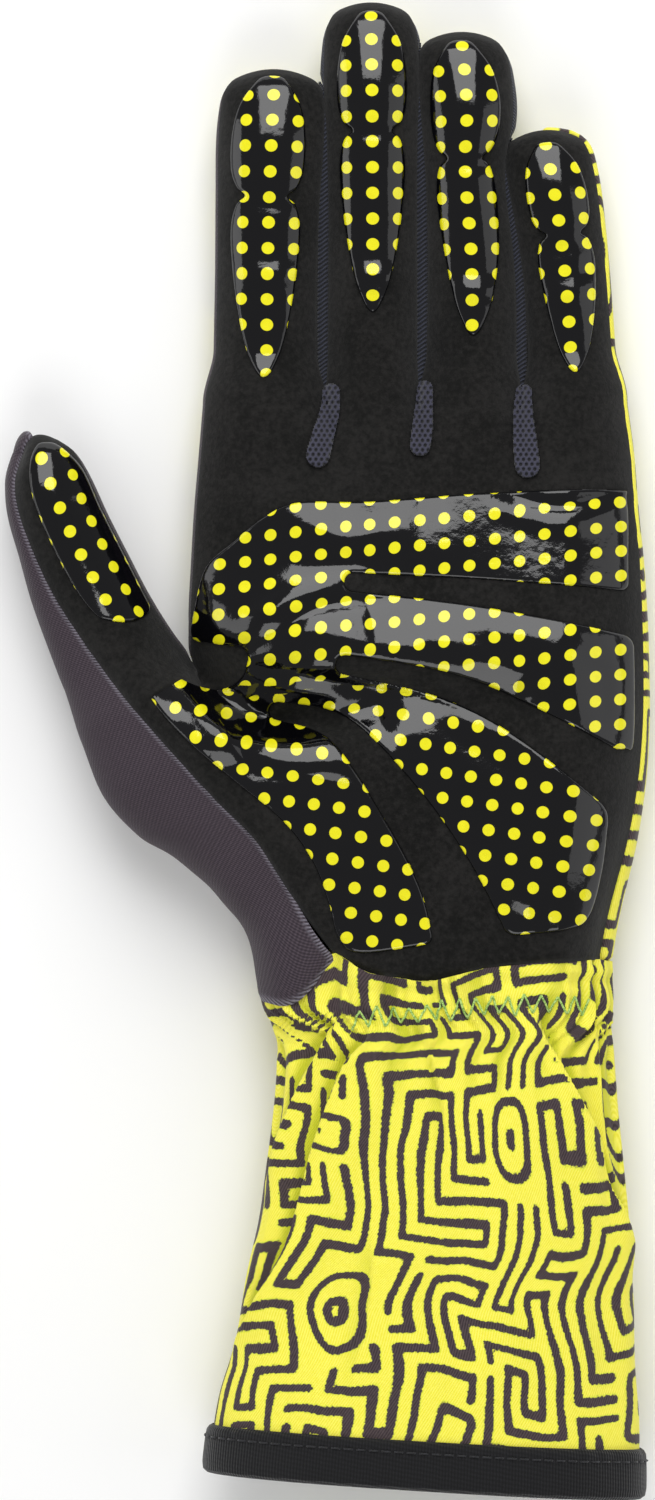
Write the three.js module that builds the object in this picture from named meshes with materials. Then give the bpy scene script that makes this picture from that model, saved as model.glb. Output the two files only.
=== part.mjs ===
// Karting glove for the left hand. It lies on its back with the palm up, as filled out as a hand leaves it.
// Millimetres, +Z up, +Y towards the fingertips, the thumb on the -X side, the origin under the middle of its box.
// Every cloth panel is a sheet that is laid out in plan, given its heights and thickened inwards, so the glove is
// hollow from the hem to the fingertips. Neighbouring panels share a seam line and each stops short of it.
import * as THREE from "three";

// Cloth and rubber
const SUEDE = 1.2; // palm side
const PRINTED_CLOTH = 1.2; // back of the hand and cuff
const THUMB_CLOTH = 1.2;
const FOURCHETTE_CLOTH = 1.0; // strips between the fingers
const GUSSET_MESH = 1.0;
const GRIP_RUBBER = 0.8;
const BINDING_CLOTH = 1.1; // one layer of the folded hem tape
const SEAM_GAP = 0.5; // between two panels at a seam
const LAP_GAP = 0.3; // between two pieces that lie on each other
const HEM_GAP = 0.45; // between the hem tape and the cuff in its fold
const GRIP_LIFT = 0.35; // between the suede and what is bonded on it

// Hand
const PALM_WIDTH = 92;
const PALM_LENGTH = 113; // wrist seam to the roots of the fingers
const PALM_HEIGHT = 27;
const WRIST_TILT = 4; // the wrist seam climbs this far towards the little finger
const WRIST_DIP = 3; // and dips this far under the middle of the palm
const WRIST_FADE = 0.15; // share of the palm's length over which both fade out
const FLARE = 11; // length over which a finger takes up its own width above its root

// Lengths of the fingers from their roots, and the width between the side seams and height of the middle finger
const INDEX_LENGTH = 66.2;
const MIDDLE_LENGTH = 79.4;
const RING_LENGTH = 73.6;
const LITTLE_LENGTH = 54.4;
const FINGER_WIDTH = 17.6;
const FINGER_HEIGHT = 17.5;
// Fingers: width and height as shares of the middle finger's, lean towards the thumb in degrees. Shares of the finger
// width: sweep, how far the middle of the finger bows away from the thumb, and press, how far the next finger presses
// its side in.
const FINGERS = [
  { name: "index", length: INDEX_LENGTH, width: 1.125, height: 0.97, lean: -1.4, sweep: -0.03, press: 0.0 },
  { name: "middle", length: MIDDLE_LENGTH, width: 1.0, height: 1.0, lean: 0.2, sweep: 0.01, press: 0.0 },
  { name: "ring", length: RING_LENGTH, width: 1.0, height: 0.97, lean: 1.2, sweep: 0.08, press: 0.125 },
  { name: "little", length: LITTLE_LENGTH, width: 0.94, height: 0.89, lean: 6.0, sweep: 0.08, press: 0.0 },
];
const TIP_LIFT = 3.5; // the fingertips curl up by this much
const SIDE_BULGE = 0.9; // of the strips between the fingers
const TIP_BULGE = 1.5; // of the cloth that closes a fingertip
const BULGE_ROOM = 0.33; // the most that a strip bulges, as a share of the way to the next digit
const CROTCH_TURN = 0.22; // where a strip starts to turn round a root, as a share of the way to the next section
const FINGER_BULGE = 0.9; // of the printed cloth round the little finger's side
const WRIST_BULGE = 3.2; // and of the same cloth at the wrist

const THUMB_LENGTH = 56; // from the thumb's root to its tip
const THUMB_WIDTH = 16; // of the suede on it, seam to seam
const THUMB_HEIGHT = 18;
const THUMB_LEAN = 27.9;
const THUMB_SWEEP = -2.8;
const THUMB_LIFT = 3;
const THUMB_ROLL = 16.8; // how far the thumb cloth rolls outside the suede's seam

// Cuff
const CUFF_LENGTH = 101.8;
const WRIST_WIDTH = 66.6;
const WRIST_HEIGHT = 26;
const WRIST_MIDDLE = 24.8; // from the glove's middle line
const HEM_WIDTH = 86.2;
const HEM_HEIGHT = 34;
const HEM_MIDDLE = 20.6;
const HEM_TILT = 5.4; // the hem drops this far towards the little finger's side
const BINDING_WIDTH = 8;
const CUFF_BLEND = 0.17; // share of the cuff's length over which the hand's wrist turns into the cuff's own section
const HEM_LIFT = { from: 0.7, over: 0.2 }; // where the cuff rises to leave room for its tape, as shares of its length
const CUFF_SQUARE = 0.85; // below 1 the cuff's section is squarer than an ellipse
const CUFF_UNDER = 1.06; // and fuller on the back's side
const LEAST_TURN = 2; // degrees between neighbouring columns of the cuff

// Plan of the palm. Shares: at and left, right of the palm's length and width, from the wrist and from its middle line;
// crown, valley and the two seams of its height. Left is the thumb side, which is a free seam only past the web.
const PALM_MIDDLE = 19.1; // the palm's middle line from the glove's middle line
const WRIST_Y = -44;
const PALM_SECTIONS = [
  { at: 0.0, left: -0.104, right: 0.393, crown: 0.92, valley: 0.92, left_seam: 0.92, right_seam: 0.56 },
  { at: 0.115, left: -0.187, right: 0.419, crown: 0.98, valley: 0.97, left_seam: 0.97, right_seam: 0.57 },
  { at: 0.23, left: -0.27, right: 0.456, crown: 1.0, valley: 0.99, left_seam: 0.99, right_seam: 0.58 },
  { at: 0.336, left: -0.348, right: 0.479, crown: 1.0, valley: 0.99, left_seam: 0.99, right_seam: 0.58 },
  { at: 0.434, left: -0.417, right: 0.489, crown: 0.99, valley: 0.97, left_seam: 0.93, right_seam: 0.58 },
  { at: 0.527, left: -0.48, right: 0.491, crown: 0.98, valley: 0.96, left_seam: 0.66, right_seam: 0.58 },
  { at: 0.619, left: -0.488, right: 0.489, crown: 0.96, valley: 0.94, left_seam: 0.58, right_seam: 0.57 },
  { at: 0.717, left: -0.483, right: 0.483, crown: 0.92, valley: 0.89, left_seam: 0.55, right_seam: 0.55 },
  { at: 0.814, left: -0.476, right: 0.472, crown: 0.87, valley: 0.81, left_seam: 0.53, right_seam: 0.53 },
  { at: 0.912, left: -0.466, right: 0.463, crown: 0.81, valley: 0.68, left_seam: 0.51, right_seam: 0.5 },
  { at: 1.0, left: -0.457, right: 0.449, crown: 0.74, valley: 0.52, left_seam: 0.49, right_seam: 0.48 },
];
const WEB_AT = 0.527; // where the thumb leaves the palm
const UNDER_SEAM = 0.17; // height of the seams under the hand's edges, as a share of the palm's height

// The lines between the fingers, from the wrist to the root, as shares of the palm's width.
const FINGER_LINES = [
  { wrist: 0.02, root: -0.196 },
  { wrist: 0.146, root: 0.002 },
  { wrist: 0.267, root: 0.224 },
];

// Sections of every finger: at along its length; width and bow, the arching of the section, of its width; crown, seam
// and under of its height; press is how much of its press is felt there.
const FINGER_SECTIONS = [
  { at: 0.08, width: 1.0, crown: 1.0, seam: 0.66, under: 0.27, bow: 0.0, press: 0.0 },
  { at: 0.19, width: 0.99, crown: 1.0, seam: 0.66, under: 0.27, bow: 0.0, press: 0.0 },
  { at: 0.4, width: 0.98, crown: 1.0, seam: 0.66, under: 0.27, bow: 0.0, press: 0.25 },
  { at: 0.64, width: 1.01, crown: 1.0, seam: 0.66, under: 0.27, bow: 0.0, press: 1.0 },
  { at: 0.79, width: 1.04, crown: 1.0, seam: 0.66, under: 0.27, bow: 0.01, press: 0.15 },
  { at: 0.9, width: 1.01, crown: 0.97, seam: 0.67, under: 0.28, bow: 0.03, press: 0.0 },
  { at: 0.96, width: 0.9, crown: 0.91, seam: 0.67, under: 0.29, bow: 0.08, press: 0.0 },
  { at: 1.0, width: 0.66, crown: 0.8, seam: 0.67, under: 0.3, bow: 0.14, press: 0.0 },
];

// Root of the thumb: at from the wrist to the web, the suede's seam in plan as shares of the palm's width and length,
// the roll of the thumb cloth as a share of THUMB_ROLL and the degrees by which it aims under straight left, heights
// of the palm's.
const THUMB_ROOT = [
  { at: 0.0, x: -0.178, y: 0.03, roll: 0.96, aim: 24, crown: 0.9, seam: 0.84, under: 0.12 },
  { at: 0.22, x: -0.257, y: 0.115, roll: 0.73, aim: 16, crown: 0.97, seam: 0.9, under: 0.1 },
  { at: 0.44, x: -0.35, y: 0.23, roll: 0.99, aim: 15, crown: 1.0, seam: 0.92, under: 0.1 },
  { at: 0.64, x: -0.437, y: 0.301, roll: 1.04, aim: 25, crown: 1.0, seam: 0.92, under: 0.1 },
  { at: 0.82, x: -0.517, y: 0.372, roll: 1.02, aim: 26, crown: 0.97, seam: 0.9, under: 0.12 },
  { at: 1.0, x: -0.613, y: 0.46, roll: 0.76, aim: 28, crown: 0.93, seam: 0.86, under: 0.14 },
];
// The free thumb: at along it, width and bow of its width, roll of THUMB_ROLL, the rest of its height.
const THUMB_SECTIONS = [
  { at: 0.17, width: 0.92, roll: 0.54, crown: 1.16, seam: 1.05, inner: 0.72, under: 0.17, bow: 0.0 },
  { at: 0.32, width: 0.95, roll: 0.42, crown: 1.08, seam: 0.97, inner: 0.68, under: 0.17, bow: 0.0 },
  { at: 0.5, width: 1.0, roll: 0.28, crown: 1.02, seam: 0.88, inner: 0.66, under: 0.17, bow: 0.0 },
  { at: 0.67, width: 0.98, roll: 0.19, crown: 0.98, seam: 0.82, inner: 0.66, under: 0.18, bow: 0.02 },
  { at: 0.84, width: 0.93, roll: 0.16, crown: 0.94, seam: 0.76, inner: 0.64, under: 0.2, bow: 0.06 },
  { at: 0.94, width: 0.78, roll: 0.15, crown: 0.86, seam: 0.71, inner: 0.63, under: 0.22, bow: 0.1 },
  { at: 1.0, width: 0.5, roll: 0.14, crown: 0.74, seam: 0.66, inner: 0.61, under: 0.25, bow: 0.14 },
];

// Relief of the palm: ridges above 0 and creases under it, each along a straight run between two places, in shares of
// the palm's width from its middle line and of its length from the wrist. Wide and high are shares of its height.
const RELIEF = [
  { x: -0.5, y: 0.545, to_x: -0.3, to_y: 0.43, wide: 0.22, high: -0.24 },
  { x: -0.3, y: 0.43, to_x: -0.12, to_y: 0.46, wide: 0.22, high: -0.2 },
  { x: -0.47, y: 0.41, to_x: -0.2, to_y: 0.385, wide: 0.2, high: 0.1 },
  { x: -0.42, y: 0.63, to_x: 0.1, to_y: 0.52, wide: 0.18, high: 0.06 },
  { x: -0.1, y: 0.5, to_x: 0.22, to_y: 0.47, wide: 0.16, high: -0.09 },
  { x: -0.38, y: 0.74, to_x: 0.02, to_y: 0.66, wide: 0.2, high: -0.05 },
  { x: 0.05, y: 0.6, to_x: 0.34, to_y: 0.57, wide: 0.2, high: 0.05 },
  { x: 0.3, y: 0.2, to_x: 0.36, to_y: 0.45, wide: 0.5, high: 0.05 },
  { x: 0.0, y: 0.12, to_x: 0.05, to_y: 0.38, wide: 0.5, high: -0.08 },
];

// Cuff sections: at of its length from the wrist; width from the wrist's to the hem's, 0 to 1; height and middle as
// width; gather is how much of each gather is left there.
const CUFF_SECTIONS = [
  { at: 0.0, width: 0.1, height: 0.0, middle: 0.0, gather: 0.0 },
  { at: 0.05, width: 0.08, height: -0.05, middle: 0.0, gather: 0.55 },
  { at: 0.1, width: 0.0, height: -0.1, middle: 0.0, gather: 0.8 },
  { at: 0.17, width: 0.04, height: 0.02, middle: 0.0, gather: 1.0 },
  { at: 0.27, width: 0.1, height: 0.18, middle: 0.02, gather: 1.0 },
  { at: 0.38, width: 0.23, height: 0.34, middle: 0.04, gather: 0.95 },
  { at: 0.5, width: 0.37, height: 0.5, middle: 0.1, gather: 0.85 },
  { at: 0.62, width: 0.53, height: 0.66, middle: 0.38, gather: 0.7 },
  { at: 0.74, width: 0.67, height: 0.8, middle: 0.58, gather: 0.5 },
  { at: 0.86, width: 0.9, height: 0.92, middle: 0.82, gather: 0.28 },
  { at: 1.0, width: 1.0, height: 1.0, middle: 1.0, gather: 0.06 },
];
// Gathers of the cuff: turn and hem_turn are where the fold starts and ends, in degrees round the cuff from the little
// finger's side over the palm's; wide in degrees; deep of the wrist's height, below 0 for a tuck.
const GATHERS = [
  { turn: 30, hem_turn: 33, wide: 8, deep: -0.046 },
  { turn: 62, hem_turn: -28, wide: 9, deep: -0.085 },
  { turn: 75, hem_turn: -8, wide: 10, deep: 0.058 },
  { turn: 90, hem_turn: 86, wide: 9, deep: -0.042 },
  { turn: 96, hem_turn: 160, wide: 8, deep: 0.065 },
  { turn: 107, hem_turn: 182, wide: 8, deep: -0.112 },
  { turn: 119, hem_turn: 204, wide: 8, deep: 0.065 },
  { turn: 130, hem_turn: 222, wide: 8, deep: -0.085 },
  { turn: 146, hem_turn: 168, wide: 9, deep: 0.046 },
  { turn: 205, hem_turn: 195, wide: 14, deep: -0.038 },
  { turn: 335, hem_turn: 345, wide: 14, deep: -0.038 },
];

// Grip on the palm, in shares of the palm's width and length: its outer line, then the bare channels cut into it, each
// a row of stations with the half width there.
const PALM_GRIP_LINE = [
  [-0.484, 0.63], [-0.458, 0.711], [-0.396, 0.761], [-0.337, 0.796], [-0.252, 0.827],
  [-0.107, 0.823], [0.13, 0.841], [0.42, 0.846], [0.45, 0.826], [0.455, 0.685],
  [0.47, 0.56], [0.466, 0.4], [0.444, 0.382], [0.412, 0.265], [0.396, 0.14],
  [0.37, 0.095], [0.32, 0.072], [0.22, 0.062], [0.05, 0.048], [-0.13, 0.03],
  [-0.172, 0.054], [-0.19, 0.119], [-0.222, 0.191], [-0.29, 0.269], [-0.396, 0.338],
  [-0.485, 0.398], [-0.556, 0.457], [-0.6, 0.515], [-0.622, 0.552], [-0.61, 0.576],
  [-0.585, 0.585], [-0.55, 0.565], [-0.505, 0.54],
];
const PALM_GRIP_CHANNELS = [
  [{ x: -0.56, y: 0.562, half: 0.035 }, { x: -0.44, y: 0.535, half: 0.05 }, { x: -0.39, y: 0.55, half: 0.024 }],
  [{ x: -0.138, y: 0.684, half: 0.02 }, { x: 0.33, y: 0.645, half: 0.042 }, { x: 0.52, y: 0.62, half: 0.055 }],
  [
    { x: -0.155, y: 0.538, half: 0.021 },
    { x: 0.07, y: 0.497, half: 0.029 },
    { x: 0.26, y: 0.42, half: 0.04 },
    { x: 0.52, y: 0.29, half: 0.075 },
  ],
  [
    { x: -0.3, y: 0.457, half: 0.021 },
    { x: -0.17, y: 0.425, half: 0.03 },
    { x: -0.04, y: 0.295, half: 0.05 },
    { x: 0.07, y: 0.15, half: 0.065 },
    { x: 0.14, y: 0.0, half: 0.09 },
  ],
];

// Grips on the fingers: top and foot along the finger, half width as a share of the finger's width, shift across it.
const FINGER_GRIPS = {
  index: { top: 0.965, foot: 0.085, half: 0.345, shift: -0.03, turn: 0.0 },
  middle: { top: 0.975, foot: 0.235, half: 0.36, shift: 0.0, turn: 0.0 },
  ring: { top: 0.97, foot: 0.19, half: 0.37, shift: -0.02, turn: 0.04 },
  little: { top: 0.955, foot: 0.12, half: 0.34, shift: 0.02, turn: 0.03 },
};
// Outline of a finger grip from its top: at of its length, half of its half width. The waist is at the joint.
const GRIP_OUTLINE = [
  { at: 0.0, half: 0.3 },
  { at: 0.03, half: 0.55 },
  { at: 0.1, half: 0.85 },
  { at: 0.22, half: 1.0 },
  { at: 0.34, half: 0.96 },
  { at: 0.4, half: 0.58 },
  { at: 0.46, half: 0.92 },
  { at: 0.56, half: 0.98 },
  { at: 0.74, half: 0.82 },
  { at: 0.88, half: 0.58 },
  { at: 0.96, half: 0.32 },
  { at: 1.0, half: 0.12 },
];
// Grip on the thumb, across the suede from -1 at the seam to 1 at the inner side.
const THUMB_GRIP = { top: 0.97, foot: 0.31, seam_side: -0.42, inner_side: 0.9 };
const THUMB_GRIP_CORNER = 0.1;

// Teardrop gussets where the strips between the fingers end in the palm. Start, from the root of the fingers, and
// length are shares of the palm's length, half and end_half of the finger width; lean is how far the end lies nearer
// to the thumb than the start, as a share of the length.
const GUSSETS = [
  { name: "gusset_index_middle", start: 0.028, length: 0.084, half: 0.114, end_half: 0.148, lean: 0.28 },
  { name: "gusset_middle_ring", start: 0.028, length: 0.071, half: 0.091, end_half: 0.119, lean: 0.08 },
  { name: "gusset_ring_little", start: 0.028, length: 0.095, half: 0.097, end_half: 0.137, lean: -0.1 },
];

// How finely the sheets are cut
const ACROSS = [-1, -0.62, 0, 0.62, 1]; // places across each digit
const ROWS_TO_WEB = 7;
const ROWS_TO_ROOT = 5; // from the web to the roots of the fingers
const BAND_STEPS = 2; // rows of a strip between the fingers
const OUTER_STEPS = 4; // rows of the printed cloth round the little finger's side
const ROLL_STEPS = 4; // rows of the thumb cloth's roll
const CUFF_BANDS = 8; // rows of the cuff from the wrist to the hem tape
const CLOSER = 1.3; // how much closer they lie at the wrist
const GRIP_HALVINGS = 1; // of the suede's edges where a grip ends
const GUSSET_HALVINGS = 2;
const NEAR = 0.45; // an edge is halved when its middle is nearer to the outline than this share of it
const SNAP = 0.3; // a corner this near an outline counts as on it

const radians = THREE.MathUtils.degToRad;
const mix = THREE.MathUtils.lerp;
const ease = (x) => THREE.MathUtils.smoothstep(x, 0, 1);
const dome = (t) => 1 - Math.abs(t) ** 2.3;

// A table's row at a share along it: each column on a smooth curve through its rows.
function rowAt(table, at) {
  const last = table.length - 1;
  const upper = table.findIndex((row) => row.at >= at);
  const i = upper < 0 ? last - 1 : Math.max(0, upper - 1);
  const rows = [Math.max(0, i - 1), i, i + 1, Math.min(last, i + 2)].map((k) => table[k]);
  const [before, a, b, after] = rows;
  const step = b.at - a.at;
  const s = (at - a.at) / step;
  const row = {};
  for (const column of Object.keys(a)) {
    const leave = (step * (b[column] - before[column])) / (b.at - before.at);
    const arrive = (step * (after[column] - a[column])) / (after.at - a.at);
    const swing = leave * (s ** 3 - 2 * s ** 2 + s) + arrive * (s ** 3 - s ** 2);
    row[column] = mix(a[column], b[column], s * s * (3 - 2 * s)) + swing;
  }
  return row;
}

// A plan place on the palm from shares of its width and length.
function onPalm(x, y) {
  return new THREE.Vector2(PALM_MIDDLE + x * PALM_WIDTH, WRIST_Y + y * PALM_LENGTH);
}

// How far the wrist seam rises above the straight section line at x. It fades out up the palm.
function wristRise(x, at) {
  const across = (x - PALM_MIDDLE) / PALM_WIDTH;
  const dip = { level: -0.1, middle: 0.02, half: 0.1 }; // shares of the palm's width
  const sunk = WRIST_DIP * Math.exp(-(((across - dip.middle) / dip.half) ** 2));
  return (WRIST_TILT * (across - dip.level) - sunk) * (1 - ease(at / WRIST_FADE));
}

function distanceToRun(x, y, a, b) {
  const dx = b.x - a.x;
  const dy = b.y - a.y;
  const along = THREE.MathUtils.clamp(((x - a.x) * dx + (y - a.y) * dy) / (dx * dx + dy * dy), 0, 1);
  return { distance: Math.hypot(x - a.x - along * dx, y - a.y - along * dy), along };
}

function distanceToLine(x, y, places) {
  return Math.min(...places.slice(1).map((b, i) => distanceToRun(x, y, places[i], b).distance));
}

// Height that the palm's ridges and creases add at a plan place.
function relief(x, y) {
  let height = 0;
  for (const r of RELIEF) {
    const { distance } = distanceToRun(x, y, onPalm(r.x, r.y), onPalm(r.to_x, r.to_y));
    height += r.high * PALM_HEIGHT * Math.exp(-((distance / (r.wide * PALM_HEIGHT)) ** 2));
  }
  return height;
}

// One end of a section: its plan place and the heights of the seam over it and under it.
function edge(place, top, under) {
  return { x: place.x, y: place.y, top, under };
}

// A point on a section at t, from -1 on the thumb side to 1, on the palm's side or the back's.
function sectionPoint(section, t, side) {
  const { left, right, bow, crown, floor } = section;
  const share = (t + 1) / 2;
  const across = new THREE.Vector2(right.x - left.x, right.y - left.y).normalize();
  const x = mix(left.x, right.x, share) - -across.y * bow * t * t;
  const y = mix(left.y, right.y, share) - across.x * bow * t * t;
  if (side === "top") {
    const middle = (left.top + right.top) / 2;
    return new THREE.Vector3(x, y, mix(left.top, right.top, share) + (crown - middle) * dome(t) + relief(x, y));
  }
  const flat = 1 - Math.max(0, (Math.abs(t) - 0.45) / 0.55) ** 1.6;
  return new THREE.Vector3(x, y, mix(mix(left.under, right.under, share), floor, flat));
}

// Shares of the palm's length at which it is cut: even up to the web and even past it.
const PALM_CUTS = [];
for (let i = 0; i < ROWS_TO_WEB; i++) PALM_CUTS.push((WEB_AT * i) / ROWS_TO_WEB);
for (let i = 0; i <= ROWS_TO_ROOT; i++) PALM_CUTS.push(mix(WEB_AT, 1, i / ROWS_TO_ROOT));

// The palm's sections split into the four fingers' strips, each a list of sections from the wrist to the fingertip.
function fingerStrips() {
  const lines = PALM_CUTS.map((at) => {
    const s = rowAt(PALM_SECTIONS, at);
    const between = FINGER_LINES.map((line) => mix(line.wrist, line.root, at));
    const places = [s.left, ...between, s.right].map((x) => onPalm(x, at));
    const seams = [s.left_seam, s.valley, s.valley, s.valley, s.right_seam];
    return places.map((place, i) => {
      const open = at === 1 || i === places.length - 1 || (i === 0 && at >= WEB_AT);
      place.y += wristRise(place.x, at);
      return edge(place, seams[i] * PALM_HEIGHT, open ? UNDER_SEAM * PALM_HEIGHT : 0);
    });
  });
  return FINGERS.map((finger, i) => {
    const sections = PALM_CUTS.map((at, row) => ({
      left: lines[row][i],
      right: lines[row][i + 1],
      crown: rowAt(PALM_SECTIONS, at).crown * PALM_HEIGHT,
      floor: 0,
      bow: 0,
    }));
    return { ...finger, sections: [...sections, ...freeSections(finger, sections.at(-1))] };
  });
}

// Sections of a finger past its root.
function freeSections(finger, root) {
  const width = finger.width * FINGER_WIDTH;
  const height = finger.height * FINGER_HEIGHT;
  const lean = radians(finger.lean);
  const along = new THREE.Vector2(-Math.sin(lean), Math.cos(lean));
  const across = new THREE.Vector2(along.y, -along.x);
  const base = new THREE.Vector2((root.left.x + root.right.x) / 2, (root.left.y + root.right.y) / 2);
  const rootHalf = Math.hypot(root.right.x - root.left.x, root.right.y - root.left.y) / 2;
  return FINGER_SECTIONS.map((s) => {
    const own = ease((s.at * finger.length) / FLARE);
    const half = mix(rootHalf, (s.width * width) / 2, own);
    const pressed = s.press * finger.press * FINGER_WIDTH;
    const lift = TIP_LIFT * s.at * s.at;
    const centre = base
      .clone()
      .addScaledVector(along, s.at * finger.length)
      .addScaledVector(across, finger.sweep * FINGER_WIDTH * 4 * s.at * (1 - s.at));
    const seam = mix(root.left.top, s.seam * height, own) + lift;
    const seamRight = mix(root.right.top, s.seam * height, own) + lift;
    const under = mix(root.left.under, s.under * height, own) + lift;
    return {
      left: edge(centre.clone().addScaledVector(across, -half), seam, under),
      right: edge(centre.clone().addScaledVector(across, half - pressed), seamRight, under),
      crown: mix(root.crown, s.crown * height, own) + lift,
      floor: lift,
      bow: s.bow * width,
    };
  });
}

// The thumb's strip: its root shares the palm's thumb side, then it runs free.
function thumbStrip(indexStrip) {
  const root = PALM_CUTS.filter((at) => at <= WEB_AT).map((at, row) => {
    const s = rowAt(THUMB_ROOT, at / WEB_AT);
    return {
      left: edge(onPalm(s.x, s.y), s.seam * PALM_HEIGHT, s.under * PALM_HEIGHT),
      right: indexStrip.sections[row].left,
      crown: s.crown * PALM_HEIGHT,
      floor: 0,
      bow: 0,
      roll: s.roll * THUMB_ROLL,
      aim: radians(s.aim),
    };
  });
  const last = root.at(-1);
  const base = new THREE.Vector2((last.left.x + last.right.x) / 2, (last.left.y + last.right.y) / 2);
  const lean = radians(THUMB_LEAN);
  const along = new THREE.Vector2(-Math.sin(lean), Math.cos(lean));
  const across = new THREE.Vector2(along.y, -along.x);
  const free = THUMB_SECTIONS.map((s) => {
    const half = (s.width * THUMB_WIDTH) / 2;
    const lift = THUMB_LIFT * s.at;
    const centre = base
      .clone()
      .addScaledVector(along, s.at * THUMB_LENGTH)
      .addScaledVector(across, THUMB_SWEEP * 4 * s.at * (1 - s.at));
    const under = s.under * THUMB_HEIGHT + lift;
    return {
      left: edge(centre.clone().addScaledVector(across, -half), s.seam * THUMB_HEIGHT + lift, under),
      right: edge(centre.clone().addScaledVector(across, half), s.inner * THUMB_HEIGHT + lift, under),
      crown: s.crown * THUMB_HEIGHT + lift,
      floor: lift,
      bow: s.bow * THUMB_WIDTH,
      roll: s.roll * THUMB_ROLL,
      aim: lean,
    };
  });
  return { name: "thumb", sections: [...root, ...free] };
}

// A sheet is { points, ways, faces, owners }: outer points, the plan direction that a wall's point faces, triangles
// whose corners run anticlockwise as seen from outside, and for each triangle the number of the grid it comes from.
function sheetOf(grids) {
  const points = [];
  const ways = [];
  const faces = [];
  const owners = [];
  const seen = new Map();
  const indexOf = (p) => {
    const key = [p.x, p.y, p.z].map((v) => Math.round(v * 1e3)).join();
    if (!seen.has(key)) {
      seen.set(key, points.push(p.clone()) - 1);
      ways.push(p.way);
    }
    return seen.get(key);
  };
  grids.forEach((grid, owner) => {
    const ids = grid.map((row) => row.map(indexOf));
    for (let i = 0; i + 1 < ids.length; i++)
      for (let j = 0; j + 1 < ids[i].length; j++) {
        const [a, b, c, d] = [ids[i][j], ids[i][j + 1], ids[i + 1][j + 1], ids[i + 1][j]];
        for (const face of [[a, b, c], [a, c, d]].filter((corners) => new Set(corners).size === 3)) {
          faces.push(face);
          owners.push(owner);
        }
      }
  });
  return { points, ways, faces, owners };
}

function pointNormals({ points, faces }) {
  const normals = points.map(() => new THREE.Vector3());
  for (const [a, b, c] of faces) {
    const n = points[b].clone().sub(points[a]).cross(points[c].clone().sub(points[a]));
    for (const i of [a, b, c]) normals[i].add(n);
  }
  return normals.map((n) => n.normalize());
}

// The edges that only one face uses, each in that face's direction.
function freeEdges(faces) {
  const used = new Map();
  for (const [a, b, c] of faces)
    for (const [p, q] of [[a, b], [b, c], [c, a]]) used.set(p + "," + q, [p, q]);
  return [...used.values()].filter(([p, q]) => !used.has(q + "," + p));
}

// Draws the edge of a sheet in along its own surface, and no lower than the sheet lies.
function drawIn(sheet, distance) {
  const normals = pointNormals(sheet);
  const lowest = Math.min(...sheet.points.map((p) => p.z));
  const inward = new Map();
  for (const [a, b] of freeEdges(sheet.faces)) {
    const run = sheet.points[b].clone().sub(sheet.points[a]);
    for (const i of [a, b]) {
      const side = normals[i].clone().cross(run).normalize();
      inward.set(i, [...(inward.get(i) || []), side]);
    }
  }
  for (const [i, sides] of inward) {
    const middle = sides.reduce((sum, s) => sum.add(s), new THREE.Vector3()).normalize();
    const slant = Math.max(0.6, middle.dot(sides[0]));
    sheet.points[i].addScaledVector(middle, distance / slant);
    sheet.points[i].z = Math.max(lowest, sheet.points[i].z);
  }
  return sheet;
}

// The closed body of a sheet between two heights over it, with a rim along its free edges.
function layer(sheet, upper, lower) {
  const normals = sheet.normals || pointNormals(sheet);
  const at = (height) => sheet.points.map((p, i) => p.clone().addScaledVector(normals[i], height));
  const count = sheet.points.length;
  const faces = [...sheet.faces];
  for (const [a, b, c] of sheet.faces) faces.push([count + a, count + c, count + b]);
  for (const [a, b] of freeEdges(sheet.faces)) faces.push([b, a, count + a], [b, count + a, count + b]);
  const geometry = new THREE.BufferGeometry().setFromPoints([...at(upper), ...at(lower)]);
  geometry.setIndex(faces.flat());
  geometry.computeVertexNormals();
  return geometry;
}

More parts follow.
